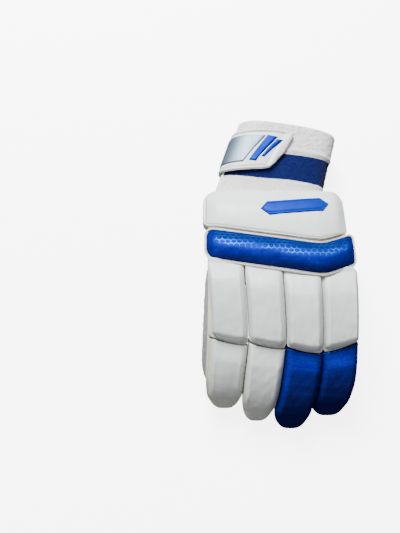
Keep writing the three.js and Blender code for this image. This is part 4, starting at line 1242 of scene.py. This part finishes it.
def hexagon_leather():
    """Metallic blue coated fabric with fine hexagon cells whose borders catch the light, with painted glints on
    them, painted light and shade by the way the surface faces, and painted shade near its borders.
    """
    finish = Finish("blue_foil", specular_ior_level=0.0)
    flat, rim = finish.flat(), finish.mark("rim")
    border, cell = hexagons(finish, flat, 5.2)
    line = border.between(0.02, 0.09, 1.0, 0.0)
    cloud = finish.noise(finish.scaled(flat, (0.05, 0.05, 0.05)), 1.0, 3.0)
    deep, mid = (0.004, 0.006, 0.15, 1), (0.004, 0.016, 0.27, 1)
    tone = finish.blend(cell * 0.4 + cloud.between(0.3, 0.7, 0, 0.5), deep, mid)
    facing = finish.parts(finish.node("ShaderNodeNewGeometry", output=1))
    # Painted light: a lighter blue where the surface faces toward +y, the lamp's side
    lit = facing[1].between(-0.08, 0.25) * facing[1].between(0.38, 0.68, 1.0, 0.25)
    tone = finish.blend(lit * 0.7, tone, (0.004, 0.032, 0.36, 1))
    # Painted shade: darker where the surface faces steeply toward +y
    tone = finish.blend(facing[1].between(0.3, 0.6) * 0.8, tone, (0.002, 0.012, 0.1, 1))
    # Painted highlight: cyan glints on the cell borders where the surface faces a narrow range toward +y
    rows = facing[1].between(0.12, 0.26) * facing[1].between(0.4, 0.55, 1.0, 0.2)
    # Painted shade near the borders, the band's ends and the tips' ends, where rim is high
    tone = finish.blend(rim.between(0.4, 1.0) * 0.75, tone, (0.002, 0.006, 0.1, 1))
    glint = line * rows * cloud.between(0.25, 0.6) * rim.between(0.3, 0.8, 0.85, 0.0)
    tone = finish.blend(glint, tone, (0.02, 0.2, 0.62, 1))
    # Painted shade where the surface faces toward -y, away from the lamp, with less metallic there
    facing_down_shade = facing[1].between(-0.55, -0.1, 1.0, 0.0)
    finish.feed("Base Color", finish.blend(facing_down_shade * 0.8, tone, (0.008, 0.009, 0.07, 1)))
    finish.feed("Metallic", (line * 0.15 + 0.1) * (1 - facing_down_shade))
    finish.feed("Roughness", 0.4 + cell * 0.1 - line * 0.1)
    crease = finish.noise(finish.scaled(flat, (0.35, 0.16, 1)), 1.0, 4.0, 0.6)
    low = finish.bump(crease.between(0.25, 0.75), 0.0005, 0.5)
    finish.feed("Normal", finish.bump(border.between(0.0, 0.1), 0.00022, 0.7, low))
    finish.feed("Coat Weight", 0.012)
    finish.feed("Coat Roughness", 0.3)
    return finish.material


def towel_finish(name, loops):
    """Cotton towelling, white with a wide navy stripe."""
    finish = Finish(name, sheen_weight=0.08, sheen_roughness=0.5, specular_ior_level=0.1)
    place, stripe = finish.place(), finish.mark("stripe").between(-0.25, 0.25)
    fibre = finish.noise(place, 650.0, 3.0)
    cloud = finish.noise(place, 60.0, 3.0)
    shade = cloud.between(0.3, 0.7) * 0.3 + fibre.between(0.35, 0.65) * 0.7
    white = finish.blend(shade, (0.86, 0.86, 0.855, 1), (0.62, 0.62, 0.61, 1))
    navy = finish.blend(fibre.between(0.3, 0.7), (0.003, 0.009, 0.095, 1), (0.002, 0.005, 0.05, 1))
    finish.feed("Base Color", finish.blend(stripe, white, navy))
    finish.feed("Roughness", 0.95)
    if not loops:
        knots = finish.node("ShaderNodeTexVoronoi", {"feature": "F1"}, {"Vector": place, "Scale": 750.0})
        finish.feed("Normal", finish.bump(knots, 0.0004, 0.6))
    return finish.material


def mesh_fabric():
    """Knitted spacer mesh with small holes in rows."""
    finish = Finish("grey_mesh", sheen_weight=0.2)
    place = finish.place()
    x, y, z = finish.parts(finish.scaled(place, (1000, 1000, 1000)))
    border, _ = hexagons(finish, finish.joined(x + z, y, 0.0), 1.5)
    hole = border.between(0.22, 0.32)
    cloud = finish.noise(place, 120.0).between(0.3, 0.7)
    tone = finish.blend(cloud, (0.3, 0.3, 0.32, 1), (0.24, 0.24, 0.26, 1))
    finish.feed("Base Color", finish.blend(hole, tone, (0.1, 0.1, 0.13, 1)))
    finish.feed("Roughness", 0.85)
    finish.feed("Normal", finish.bump(hole, -0.0006, 0.8))
    return finish.material


def palm_leather():
    """Soft white leather with a fine grain and handling marks."""
    finish = Finish("palm_leather", specular_ior_level=0.35)
    place = finish.place()
    cloud = finish.noise(place, 35.0, 5.0)
    tone = finish.blend(cloud.between(0.35, 0.7), (0.72, 0.7, 0.64, 1), (0.56, 0.53, 0.46, 1))
    finish.feed("Base Color", tone)
    finish.feed("Roughness", cloud.between(0.3, 0.7, 0.6, 0.78))
    pores = finish.node("ShaderNodeTexVoronoi", {"feature": "DISTANCE_TO_EDGE"}, {"Vector": place, "Scale": 900.0})
    folds = finish.bump(finish.noise(place, 110.0, 5.0, 0.6), 0.0009, 0.5)
    finish.feed("Normal", finish.bump(pores.between(0, 0.3), 0.00015, 0.6, folds))
    return finish.material


def plain_finish(name, first, second, roughness, metallic=0.0, scale=400.0, bump=0.0001, shine=0.5):
    """A small part's finish: two close tones and a fine texture."""
    finish = Finish(name, metallic=metallic, specular_ior_level=shine)
    tone = finish.noise(finish.place(), scale, 4.0)
    finish.feed("Base Color", finish.blend(tone.between(0.3, 0.7), first, second))
    finish.feed("Roughness", tone.between(0.25, 0.75, roughness, roughness + 0.12))
    finish.feed("Normal", finish.bump(tone, bump, 0.6))
    return finish.material


def silver_finish():
    """Satin silver film, paler in the middle of its length."""
    finish = Finish("silver_film", metallic=0.5, specular_ior_level=0.2)
    along, _, _ = finish.parts(finish.flat())
    stops = [
        (0.0, (0.075, 0.105, 0.145, 1)),
        (0.4, (0.105, 0.145, 0.2, 1)),
        (0.72, (0.22, 0.285, 0.37, 1)),
        (1.0, (0.135, 0.185, 0.25, 1)),
    ]
    finish.feed("Base Color", finish.node("ShaderNodeValToRGB", {"stops": stops}, {0: along / PATCH_LENGTH}))
    brushed = finish.noise(finish.scaled(finish.place(), (900, 60, 900)), 1.0, 2.0)
    finish.feed("Roughness", brushed.between(0.3, 0.7, 0.42, 0.54))
    finish.feed("Normal", finish.bump(brushed, 0.00004, 0.4))
    return finish.material


# Repeats


class Nodes:
    """A Geometry Nodes tree with named inputs."""

    def __init__(self, name, **inputs):
        self.tree = bpy.data.node_groups.new(name, "GeometryNodeTree")
        face = self.tree.interface
        face.new_socket("Geometry", in_out="INPUT", socket_type="NodeSocketGeometry")
        self.values = {}
        for key, value in inputs.items():
            kind = {float: "NodeSocketFloat", int: "NodeSocketInt"}.get(type(value), "NodeSocketMaterial")
            self.values[face.new_socket(key, in_out="INPUT", socket_type=kind).identifier] = value
        face.new_socket("Geometry", in_out="OUTPUT", socket_type="NodeSocketGeometry")
        self.start = self.tree.nodes.new("NodeGroupInput")
        self.end = self.tree.nodes.new("NodeGroupOutput")

    def add(self, kind, settings=None, sockets=None, output=0):
        return new_node(self.tree, kind, settings, sockets).outputs[output]

    def given(self, name):
        return self.start.outputs[name]

    def finish_on(self, made, geometry):
        """Realizes what was made, gives it its finish and keeps it as the object's mesh."""
        real = self.add("GeometryNodeRealizeInstances", None, {0: geometry})
        painted = self.add("GeometryNodeSetMaterial", None, {"Geometry": real, "Material": self.given("Finish")})
        self.tree.links.new(painted, self.end.inputs[0])
        step = made.modifiers.new("repeat", "NODES")
        step.node_group = self.tree
        for key, value in self.values.items():
            step[key] = value
        plain_copy(made)
        bpy.data.node_groups.remove(self.tree)
        made.data.shade_smooth()
        return made


def stitch_object(name, rows, material, pitch, length, thickness):
    """Stitches along lines. Each row is its points and the directions that they face, in millimetres."""
    edges, start = [], 0
    for line, _ in rows:
        edges += [(start + i, start + i + 1) for i in range(len(line) - 1)]
        start += len(line)
    points, facing = (np.concatenate(part) for part in zip(*rows))
    made = mesh_object(name, points, [], {"facing": facing})
    made.data.edges.add(len(edges))
    made.data.edges.foreach_set("vertices", np.array(edges, np.int32).ravel())
    made.data.update()
    sizes = {"Pitch": pitch / 1000, "Length": length / 1000, "Thickness": thickness / 1000}
    nodes = Nodes(name + "_rows", **sizes, Finish=material)
    curve = nodes.add("GeometryNodeMeshToCurve", None, {0: nodes.given("Geometry")})
    spacing = {"Curve": curve, "Length": nodes.given("Pitch")}
    even = nodes.add("GeometryNodeResampleCurve", {"mode": "LENGTH"}, spacing)
    tangent = nodes.add("GeometryNodeInputTangent")
    out = nodes.add("GeometryNodeInputNamedAttribute", {"data_type": "FLOAT_VECTOR"}, {"Name": "facing"})
    axes = {"primary_axis": "X", "secondary_axis": "Z"}
    turn = nodes.add("FunctionNodeAxesToRotation", axes, {0: tangent, 1: out})
    ball = nodes.add("GeometryNodeMeshUVSphere", None, {"Segments": 6, "Rings": 4, "Radius": 0.5})
    thick = nodes.given("Thickness")
    size = nodes.add("ShaderNodeCombineXYZ", None, {0: nodes.given("Length"), 1: thick, 2: thick})
    placing = {"Points": even, "Instance": ball, "Rotation": turn, "Scale": size}
    return nodes.finish_on(made, nodes.add("GeometryNodeInstanceOnPoints", None, placing))


def loops_object(source, material):
    """Cotton loops all over the outside of the towelling."""
    made = bpy.data.objects.new("cuff_loops", source.data.copy())
    bpy.context.scene.collection.objects.link(made)
    nodes = Nodes(
        "towel_loops", Density=LOOP_DENSITY, Gap=0.0009, Seed=11, Loop=0.00052, Thread=0.00018, Finish=material
    )
    outer = nodes.add("GeometryNodeInputNamedAttribute", {"data_type": "FLOAT"}, {"Name": "outer"})
    spreading = {
        "Mesh": nodes.given("Geometry"),
        "Selection": outer,
        "Distance Min": nodes.given("Gap"),
        "Density Max": nodes.given("Density"),
        "Seed": nodes.given("Seed"),
    }
    kind = "GeometryNodeDistributePointsOnFaces"
    spread = nodes.add(kind, {"distribute_method": "POISSON"}, spreading).node.outputs
    arch = {"Resolution": 3, "Radius": nodes.given("Loop"), "Sweep Angle": 1.1 * math.pi}
    arc = nodes.add("GeometryNodeCurveArc", {"mode": "RADIUS"}, arch)
    arc = nodes.add("GeometryNodeTransform", None, {"Geometry": arc, "Rotation": (math.pi / 2, 0, 0)})
    section = {"Resolution": 3, "Radius": nodes.given("Thread")}
    ring = nodes.add("GeometryNodeCurvePrimitiveCircle", {"mode": "RADIUS"}, section)
    sweep = {"Curve": arc, "Profile Curve": ring, "Fill Caps": False}
    loop = nodes.add("GeometryNodeCurveToMesh", None, sweep)

    def random(low, high, seed):
        ends = {"Min": low, "Max": high, "Seed": seed}
        return nodes.add("FunctionNodeRandomValue", {"data_type": "FLOAT"}, ends, output=1)

    swing, lean, size = random(0, 2 * math.pi, 5), random(-0.5, 0.5, 6), random(0.7, 1.35, 7)
    angles = nodes.add("ShaderNodeCombineXYZ", None, {0: lean, 1: 0.0, 2: swing})
    own_axes = {"rotation_space": "LOCAL"}
    turned = nodes.add("FunctionNodeRotateRotation", own_axes, {0: spread["Rotation"], 1: angles})
    placing = {"Points": spread["Points"], "Instance": loop, "Rotation": turned, "Scale": size}
    return nodes.finish_on(made, nodes.add("GeometryNodeInstanceOnPoints", None, placing))


def cuff_facing(points):
    """Directions out of the cuff, near enough for stitches."""
    steps = unit(np.gradient(points, axis=0))
    out = points - cuff_frame((points[:, 1] - HAND_LENGTH - CLEARANCE) / CUFF_LENGTH)[0]
    out[:, 1] = 0
    out = unit(out)
    return out - steps * np.einsum("ij,ij->i", out, steps)[:, None]


# Making the pieces

white_pu = padded_leather("white_coated", (0.745, 0.785, 0.78, 1), (0.56, 0.56, 0.49, 1), 0.9, 0.4)
# The pads' copy of the white coating is painted darker: painted shade for the pads
shaded_pad_pu = padded_leather("white_coated_pads", (0.66, 0.70, 0.695, 1), (0.49, 0.49, 0.43, 1), 0.9, 0.42)
blue_pu = hexagon_leather()
cream = plain_finish("cream_edge", (0.7, 0.69, 0.6, 1), (0.6, 0.585, 0.49, 1), 0.45)
thread = plain_finish("white_thread", (0.82, 0.82, 0.8, 1), (0.7, 0.7, 0.67, 1), 0.6, scale=2500.0)
PRINT_TONES = (0.005, 0.035, 0.33, 1), (0.004, 0.025, 0.27, 1)
print_blue = plain_finish("blue_film", *PRINT_TONES, 0.4, metallic=0.3, scale=90.0, bump=0.00005, shine=0.05)
silver = silver_finish()
towel, towel_loop = towel_finish("towelling", False), towel_finish("towelling_loops", True)
leather, fabric = palm_leather(), mesh_fabric()

BODY = "root"


def done(made, material, slot, *nodes, soft=None, angle=55):
    """Gives a piece its finish, keeps it just clear of the floor, hangs it on the body and hides the imported
    parts that it stands for.
    """
    if material is not None:
        made.data.materials.clear()
        made.data.materials.append(material)
        smooth(made, angle)
    spots = points_of(made)
    spots[:, 2] = np.maximum(spots[:, 2], FLOOR_GAP)
    move_points(made, spots)
    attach(made, BODY)
    if nodes:
        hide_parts(*nodes)
    return made


# Palm and back: one skin round the hand and its stalls, thin and hollow, parted along the side seam
skin = glove_object("glove_skin", 0, 0)
remesh = skin.modifiers.new("even", "REMESH")
remesh.mode, remesh.voxel_size, remesh.use_smooth_shade = "VOXEL", SKIN_VOXEL, True
relax = skin.modifiers.new("relax", "CORRECTIVE_SMOOTH")
relax.factor, relax.iterations, relax.use_only_smooth = 0.5, 6, True
plain_copy(skin)
spots, facing = points_of(skin), normals_of(skin)
below = 1 - eased(facing[:, 2], -0.2, 0.3)
wrinkle = 0.32 * ripple(spots, 9, 41, (0.5, 1.6, 1)) + 0.28 * ripple(spots, 18, 42)
away_from_wrist = 1 - eased(spots[:, 1], HAND_LENGTH - 6, HAND_LENGTH - 2)
spots = spots + facing * ((wrinkle - 0.35) * (0.35 + 0.65 * below) * away_from_wrist)[:, None]
spots[:, 2] = np.maximum(spots[:, 2], 0)
spots[:, 1] = np.minimum(spots[:, 1], HAND_LENGTH)
move_points(skin, spots)
hollow = glove_object("hollow", -WALL - 0.35, 2 * WALL)
thumb_hollow = thumb_object("thumb_hollow", -WALL)
carve(skin, hollow, "DIFFERENCE")
carve(skin, thumb_hollow, "DIFFERENCE", keep=True)
palm = bpy.data.objects.new("palm_side", skin.data.copy())
bpy.context.scene.collection.objects.link(palm)
carve(palm, back_region("above_seam", CLEARANCE / 2), "DIFFERENCE")
carve(skin, back_region("above_seam", -CLEARANCE / 2), "INTERSECT")
skin.name = "back_of_hand"
done(palm, leather, "palm_leather", "palm", angle=40)
done(skin, fabric, "grey_mesh", "hand_back", angle=40)

thumb = thumb_object("thumb_leather", 0)
carve(thumb, thumb_hollow, "DIFFERENCE")
carve(thumb, glove_object("clear_of_hand", CLEARANCE, 2 * CLEARANCE), "DIFFERENCE")
done(thumb, leather, "palm_leather", "thumb_stall", angle=40)


def thumb_pad_object(name, start, end, closing):
    """A padded block on the thumb's outer side, hollow underneath for the thumb."""
    # Place along the block: plateau, half width, height
    rows = Track(
        (0, 0, 0.9, 1),
        (0.12, 0.7, 1, 1),
        (0.45, 1, 1, 1),
        (0.8, 0.8, mix(1, 0.85, closing), mix(1, 0.85, closing)),
        (1, 0, mix(0.9, 0.5, closing), mix(1, 0.5, closing)),
    )
    v = evenly(0, 1, SAMPLE / THUMB_PAD_LENGTH, 0.6)
    u = evenly(-1, 1, SAMPLE / THUMB_PAD_HALF, 0.4)
    vs, us = np.meshgrid(v, u, indexing="ij")
    point, _, _, out, across, length = thumb_frame(mix(start, end, vs))
    plateau, half, height = rows(vs)
    to_side = (1 - np.abs(us)) * THUMB_PAD_HALF
    side = dome(to_side, 0.6, 4)
    border = np.minimum(to_side, np.minimum(vs, 1 - vs) * (end - start) * length)
    rise = THUMB_PAD * (PAD_FLANGE + (1 - PAD_FLANGE) * np.clip(plateau, 0, 1.2) * side) - rolled(border, 1.0)
    over = (THUMB_HALF_HEIGHT + rise) * height
    off = np.abs(us * half * THUMB_PAD_HALF / (THUMB_HALF_WIDTH + 1))
    foot = (THUMB_HALF_HEIGHT - PAD_SKIRT) * height
    hug = np.maximum((THUMB_HALF_HEIGHT + CLEARANCE) * swell(off, THUMB_HUG_POWER), foot)
    beside = point + across * (us * half * THUMB_PAD_HALF)[..., None]
    top, under = (beside + out * lift[..., None] for lift in (over, np.minimum(hug, over - 0.8)))
    flat = np.stack([us * THUMB_PAD_HALF, vs * THUMB_PAD_LENGTH, 0 * us + 300], -1)
    # Painted shade: rim darkens the block off its plateau and all of its underside
    rim = np.clip(1 - plateau * side, 0, 1)
    marks = {"flat": np.concatenate([flat, flat[:, ::-1]], 1), "rim": np.concatenate([rim, 0 * rim + 1], 1)}
    return tube_object(name, np.concatenate([top, under[:, ::-1]], 1), marks)


clear = glove_object("clear_of_hand", CLEARANCE, 2 * CLEARANCE)
carve(clear, thumb_object("thumb_room", CLEARANCE), "UNION")
for node, start, end, closing in (("thumb_pad_base", 0.36, 0.64, 0), ("thumb_pad_tip", 0.65, 1, 1)):
    block = thumb_pad_object(node + "_cushion", start, end, closing)
    carve(block, clear, "DIFFERENCE", keep=True)
    done(block, shaded_pad_pu, "white_pu", node, soft=0.7, angle=45)
drop(clear)

# Finger pads
for finger in fingers:
    done(pad_object(finger, False), shaded_pad_pu, "white_pu", finger.name + "_pad_upper", soft=0.85, angle=60)
    tip_finish, tip_slot = (blue_pu, "blue_pu") if finger.number > 1 else (shaded_pad_pu, "white_pu")
    done(pad_object(finger, True), tip_finish, tip_slot, finger.name + "_pad_tip", soft=0.85, angle=60)

# Band, its edge and the panel
done(band.body("knuckle_band_cushion", 51, 0.35), blue_pu, "blue_pu", "knuckle_band", soft=0.85, angle=60)
done(panel.body("back_panel_cushion", 61, 0.35), white_pu, "white_pu", "back_panel", soft=0.8, angle=60)


def edge_height(line):
    """Height of the band's border beside a line round it."""
    x, y = line[:, 0], line[:, 1]
    inside = np.clip(x, -band.left, band.right)
    low, high, _ = band.bounds(inside)
    crown = knuckles_at(inside / HAND_HALF_WIDTH)[1]
    return hand_height(np.clip(y, low, high)) + HAND_HALF_HEIGHT * crown + band.thickness * band.flange


def piping_object():
    """The rolled edge round the band, on a thin skirt that goes down beside the band's pad."""
    radius = PIPING_WIDTH / 2 + PIPING_SWELL
    line = band.path(CLEARANCE + PIPING_WIDTH / 2)
    height = edge_height(line) - 1.3
    forward = unit(np.roll(line, -1, 0) - np.roll(line, 1, 0))
    outward = np.stack([-forward[:, 1], forward[:, 0]], -1)
    angles = np.linspace(-0.15 * np.pi, 1.15 * np.pi, 11)
    roll = [(radius * math.cos(a), radius * math.sin(a)) for a in angles]
    section = [(0.5, -PIPING_DROP), *roll, (-0.5, -PIPING_DROP)]
    rows = [np.concatenate([line + outward * across, (height + lift)[:, None]], 1) for across, lift in section]
    return tube_object("band_edge_piping", np.stack(rows, 1), ends=False)


done(piping_object(), cream, "cream_piping", "band_piping", angle=70)


def badge_object():
    """A plain long hexagon with an inner line, raised on the panel."""
    length, width, turn = 66, 15, math.radians(5)
    k = evenly(-1, 1, 0.02, 0.3)
    w = evenly(-1, 1, 0.08, 0.4)
    ks, ws = np.meshgrid(k, w, indexing="ij")
    half = np.clip((1 - np.abs(ks)) * length / 2 / (width / 2), 0.02, 1) * width / 2
    x0, y0 = ks * length / 2, ws * half
    x = 0.22 * HAND_HALF_WIDTH + x0 * math.cos(turn) - y0 * math.sin(turn)
    y = 0.82 * HAND_LENGTH + x0 * math.sin(turn) + y0 * math.cos(turn)
    border = np.minimum((1 - np.abs(ws)) * half, (1 - np.abs(ks)) * length / 2 * 0.7)
    groove = 0.5 * np.exp(-(((border - 2.4) / 0.5) ** 2))
    base = panel.surface(x, y)
    top = np.stack([x, y, base + 0.25 + (1.1 * dome(border, 0, 0.8) - groove)], -1)
    under = np.stack([x, y, base + 0.05], -1)
    return tube_object("panel_badge", np.concatenate([top, under[:, ::-1]], 1))


done(badge_object(), print_blue, "blue_print", "badge", angle=40)

# Cuff, its bindings and the strap
cuff = cuff_object()
loops = loops_object(cuff, towel_loop)
done(cuff, towel, "towelling", "cuff", angle=70)
done(loops, None, "towelling")
for side, node in ((1, "cuff_binding_top"), (-1, "cuff_binding_bottom")):
    done(binding_object(side), white_pu, "white_pu", node, angle=60)
done(strap_object(), white_pu, "white_pu", "strap", angle=60)
# Low turn, high turn, low and high of the silver field's rows
PATCH = [
    (0.54, 0.54, 0.425, 0.755),
    (0.47, 0.47, 0.42, 0.76),
    (0.42, 0.41, 0.42, 0.765),
    (0.37, 0.34, 0.43, 0.78),
    (0.33, 0.285, 0.44, 0.79),
]
done(raised_patch("strap_silver", PATCH, 0.9), silver, "silver_pu", "strap_patch", angle=40)
# The same for the middle of each bar, and half its width in turns
BARS = (0.302, 0.27, 0.455, 0.79, 0.011), (0.277, 0.255, 0.51, 0.75, 0.004)
for number, (low_turn, high_turn, low, high, width) in enumerate(BARS, 1):
    moves = [side * width for side in (-1, 0, 1)]
    rows = [(low_turn + move, high_turn + move, low + move / 2, high + move / 2) for move in moves]
    bar = raised_patch(f"strap_blue_{number}", rows, 1.3)
    done(bar, print_blue, "blue_print", f"strap_bar_{number}", angle=40)

# Stitches


def on_cushion(shape, line, lift):
    """A row of stitches along a line on a cushion."""
    x, y = line[:, 0], line[:, 1]
    points = np.stack([x, y, shape.surface(np.clip(x, -shape.left, shape.right), y) + lift], -1)
    return points, all_along(points, (0, 0, 1))


panel_line = panel.path(-SEAM_IN)
keep = (panel_line[:, 1] < HAND_LENGTH - 2) & (panel_line[:, 0] < 55)
start = int(np.argmax(~keep))
panel_row = on_cushion(panel, np.roll(panel_line, -start, 0)[np.roll(keep, -start)], -0.1)
band_row = on_cushion(band, band.path(0.15), 0.1)
along = np.linspace(0.02, strap_at.at[-1] - 0.014, 260)
width = (strap_at(along)[3] - strap_at(along)[2]) * CUFF_LENGTH
stitch_in = STRAP_STITCH_IN / width
strap_lines = [strap_spot(along, across, STRAP_OUTER - 0.45) for across in (stitch_in, 1 - stitch_in)]
# Pitch, length and thickness of the stitches
for name, rows, sizes in (
    ("panel_stitches", [panel_row], (2.5, 1.7, 0.62)),
    ("band_stitches", [band_row], (1.5, 0.9, 0.7)),
    ("strap_stitches", [(line, cuff_facing(line)) for line in strap_lines], (2.2, 1.5, 0.6)),
):
    done(stitch_object(name, rows, thread, *sizes), None, "white_pu")

# Floor, light and camera
floor_mesh = bpy.data.meshes.new("floor")
floor_mesh.from_pydata([(-3, -3, 0), (3, -3, 0), (3, 3, 0), (-3, 3, 0)], [], [(0, 1, 2, 3)])
floor = bpy.data.objects.new("floor", floor_mesh)
bpy.context.scene.collection.objects.link(floor)
floor_finish = Finish("pale_floor", base_color=(0.95, 0.95, 0.95, 1), roughness=0.9)
floor_finish.feed("Emission Color", (1, 1, 1, 1))
floor_finish.feed("Emission Strength", 5.0)
floor_mesh.materials.append(floor_finish.material)
# The ground is seen bright, and throws no light back at the glove
floor.visible_diffuse = floor.visible_glossy = False
floor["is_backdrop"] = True


def lamp(name, place, size, power, colour):
    """A round soft lamp that points at the middle of the glove."""
    light = bpy.data.lights.new(name, "AREA")
    light.shape, light.size, light.energy, light.color = "DISK", size, power, colour
    made = bpy.data.objects.new(name, light)
    bpy.context.scene.collection.objects.link(made)
    made.location = place
    away = unit(np.array(place) - (0, 0, 0.03))
    made.rotation_euler = (math.acos(away[2]), 0, math.atan2(away[1], away[0]) + math.pi / 2)


lamp("window", (-0.35, 1.05, 1.08), 0.8, 80, (0.98, 0.99, 1.0))
lamp("fill", (-0.9, -0.5, 1.0), 1.0, 2.5, (1.0, 0.97, 0.94))

world = bpy.data.worlds.new("studio")
world.use_nodes = True
world.node_tree.nodes["Background"].inputs[0].default_value = (1.0, 0.99, 0.97, 1)
world.node_tree.nodes["Background"].inputs[1].default_value = 0.3
bpy.context.scene.world = world

camera_data = bpy.data.cameras.new("camera")
camera_data.lens, camera_data.sensor_width = 36.3, 36
camera = bpy.data.objects.new("camera", camera_data)
camera.location = (-0.07405, -0.10843, 0.54907)
camera.rotation_euler = (math.radians(12), 0, 0)
bpy.context.scene.collection.objects.link(camera)
bpy.context.scene.camera = camera

low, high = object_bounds()
